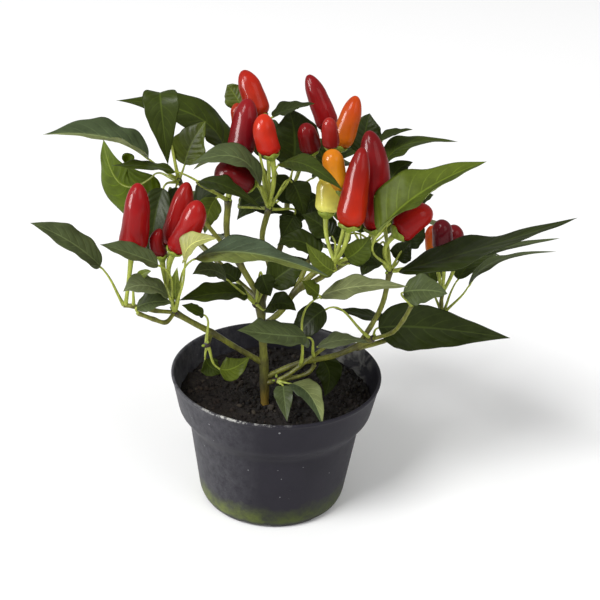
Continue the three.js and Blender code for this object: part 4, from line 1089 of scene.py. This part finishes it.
def glossy_pepper_skin(tree):
    """Tight pepper skin: saturated flesh colour, slightly blotched, under a clear, wet-looking cuticle."""
    place = add(tree, "ShaderNodeTexCoord").outputs["Object"]
    blotches = add(
        tree, "ShaderNodeTexNoise",
        {"Vector": place, "Scale": per_metre(11.1), "Detail": 3.0, "Roughness": 0.5},
    )
    shade = add(
        tree, "ShaderNodeMapRange",
        {"Value": blotches, "From Min": 0.3, "From Max": 0.7, "To Min": 0.82, "To Max": 1.15},
    )
    return add(
        tree, "ShaderNodeBsdfPrincipled",
        {
            "Base Color": own_tint(tree, shade), "Roughness": 0.5, "Specular IOR Level": 0.05,
            "Coat Weight": 0.24, "Coat Roughness": 0.13,
        },
    )


fruit_skin = material_of("glossy chilli skin", glossy_pepper_skin)
fruit_looks = {
    number: (fruit_slot, *map(linear, colours))
    for fruit_slot, fruits in FRUIT_COLOURS.items() for number, colours in fruits.items()
}
all_pods = {number: pod for pods in PODS.values() for number, pod in pods.items()}
for order, (number, pod) in enumerate(all_pods.items()):
    fruit_slot, calyx_tint, tip_tint = fruit_looks[number]
    fruit = fruit_surface(calyx_tint, tip_tint, 1.3 * order, *pod[:5])
    fruit_piece = build(f"fruit_chilli_{number:02}", [fruit], [fruit_skin], f"chilli_{number:02}")

# ------------------------------------------------------------------ floor, light and camera
# A plain pale studio floor under a soft, even, white surround, with a large soft key light from the upper
# left and front, a weak fill at the right, and a low window at the left that shows in gloss alone.

FLOOR_SPAN = 8.0              # metres
CAMERA_PLACE = (0.0, -0.5782, 0.4089)
CAMERA_RIGHT = (0.9989, 0.0035, 0.0472)
CAMERA_UP = (-0.0439, 0.4393, 0.8972)
CAMERA_BACK = (-0.0176, -0.8983, 0.439)


def matt_white_paper(tree):
    """Plain matt paper, a little off white."""
    return add(tree, "ShaderNodeBsdfPrincipled", {"Base Color": linear("#f7f7f7"), "Roughness": 0.9})


def soft_light(name, place, target, size, power):
    """A square area light in metres and watts, aimed at a target."""
    lamp = bpy.data.lights.new(name, "AREA")
    lamp.shape = "SQUARE"
    lamp.size = size
    lamp.energy = power
    light = bpy.data.objects.new(name, lamp)
    bpy.context.scene.collection.objects.link(light)
    aim = Vector(target) - Vector(place)
    light.matrix_world = Matrix.Translation(place) @ aim.to_track_quat("-Z", "Y").to_matrix().to_4x4()
    return light


floor_mesh = bpy.data.meshes.new("studio_floor")
floor_corners = FLOOR_SPAN / 2 * np.array([(-1, -1, 0), (1, -1, 0), (1, 1, 0), (-1, 1, 0)])
floor_mesh.from_pydata(floor_corners.tolist(), [], [(0, 1, 2, 3)])
floor_mesh.materials.append(material_of("matt white paper", matt_white_paper))
studio_floor = bpy.data.objects.new("studio_floor", floor_mesh)
bpy.context.scene.collection.objects.link(studio_floor)
key_light = soft_light("key_light", (-4.0, -4.0, 6.8), (0, 0, 0.13), size=3.4, power=650.0)
window_light = soft_light("window_light", (-1.95, -0.9, 0.8), (0, 0, 0.15), size=1.0, power=110.0)
window_light.visible_camera = False
window_light.visible_diffuse = False
fill_light = soft_light("fill_light", (3.0, -3.0, 3.0), (0, 0, 0.12), size=3.0, power=60.0)

world = bpy.data.worlds.new("studio surround")
bpy.context.scene.world = world
world.use_nodes = True
surround = world.node_tree.nodes["Background"].inputs
surround["Color"].default_value = (1.0, 1.0, 1.0, 1.0)
surround["Strength"].default_value = 0.5

lens = bpy.data.cameras.new("main_camera")
lens.lens = 69.0
lens.sensor_width = 36.0
lens.clip_start = 0.05
camera = bpy.data.objects.new("main_camera", lens)
bpy.context.scene.collection.objects.link(camera)
turned_axes = np.column_stack([CAMERA_RIGHT, CAMERA_UP, CAMERA_BACK, CAMERA_PLACE])
camera.matrix_world = Matrix(np.vstack([turned_axes, [0, 0, 0, 1]]).tolist())
bpy.context.scene.camera = camera
bpy.context.scene.view_settings.view_transform = "Standard"
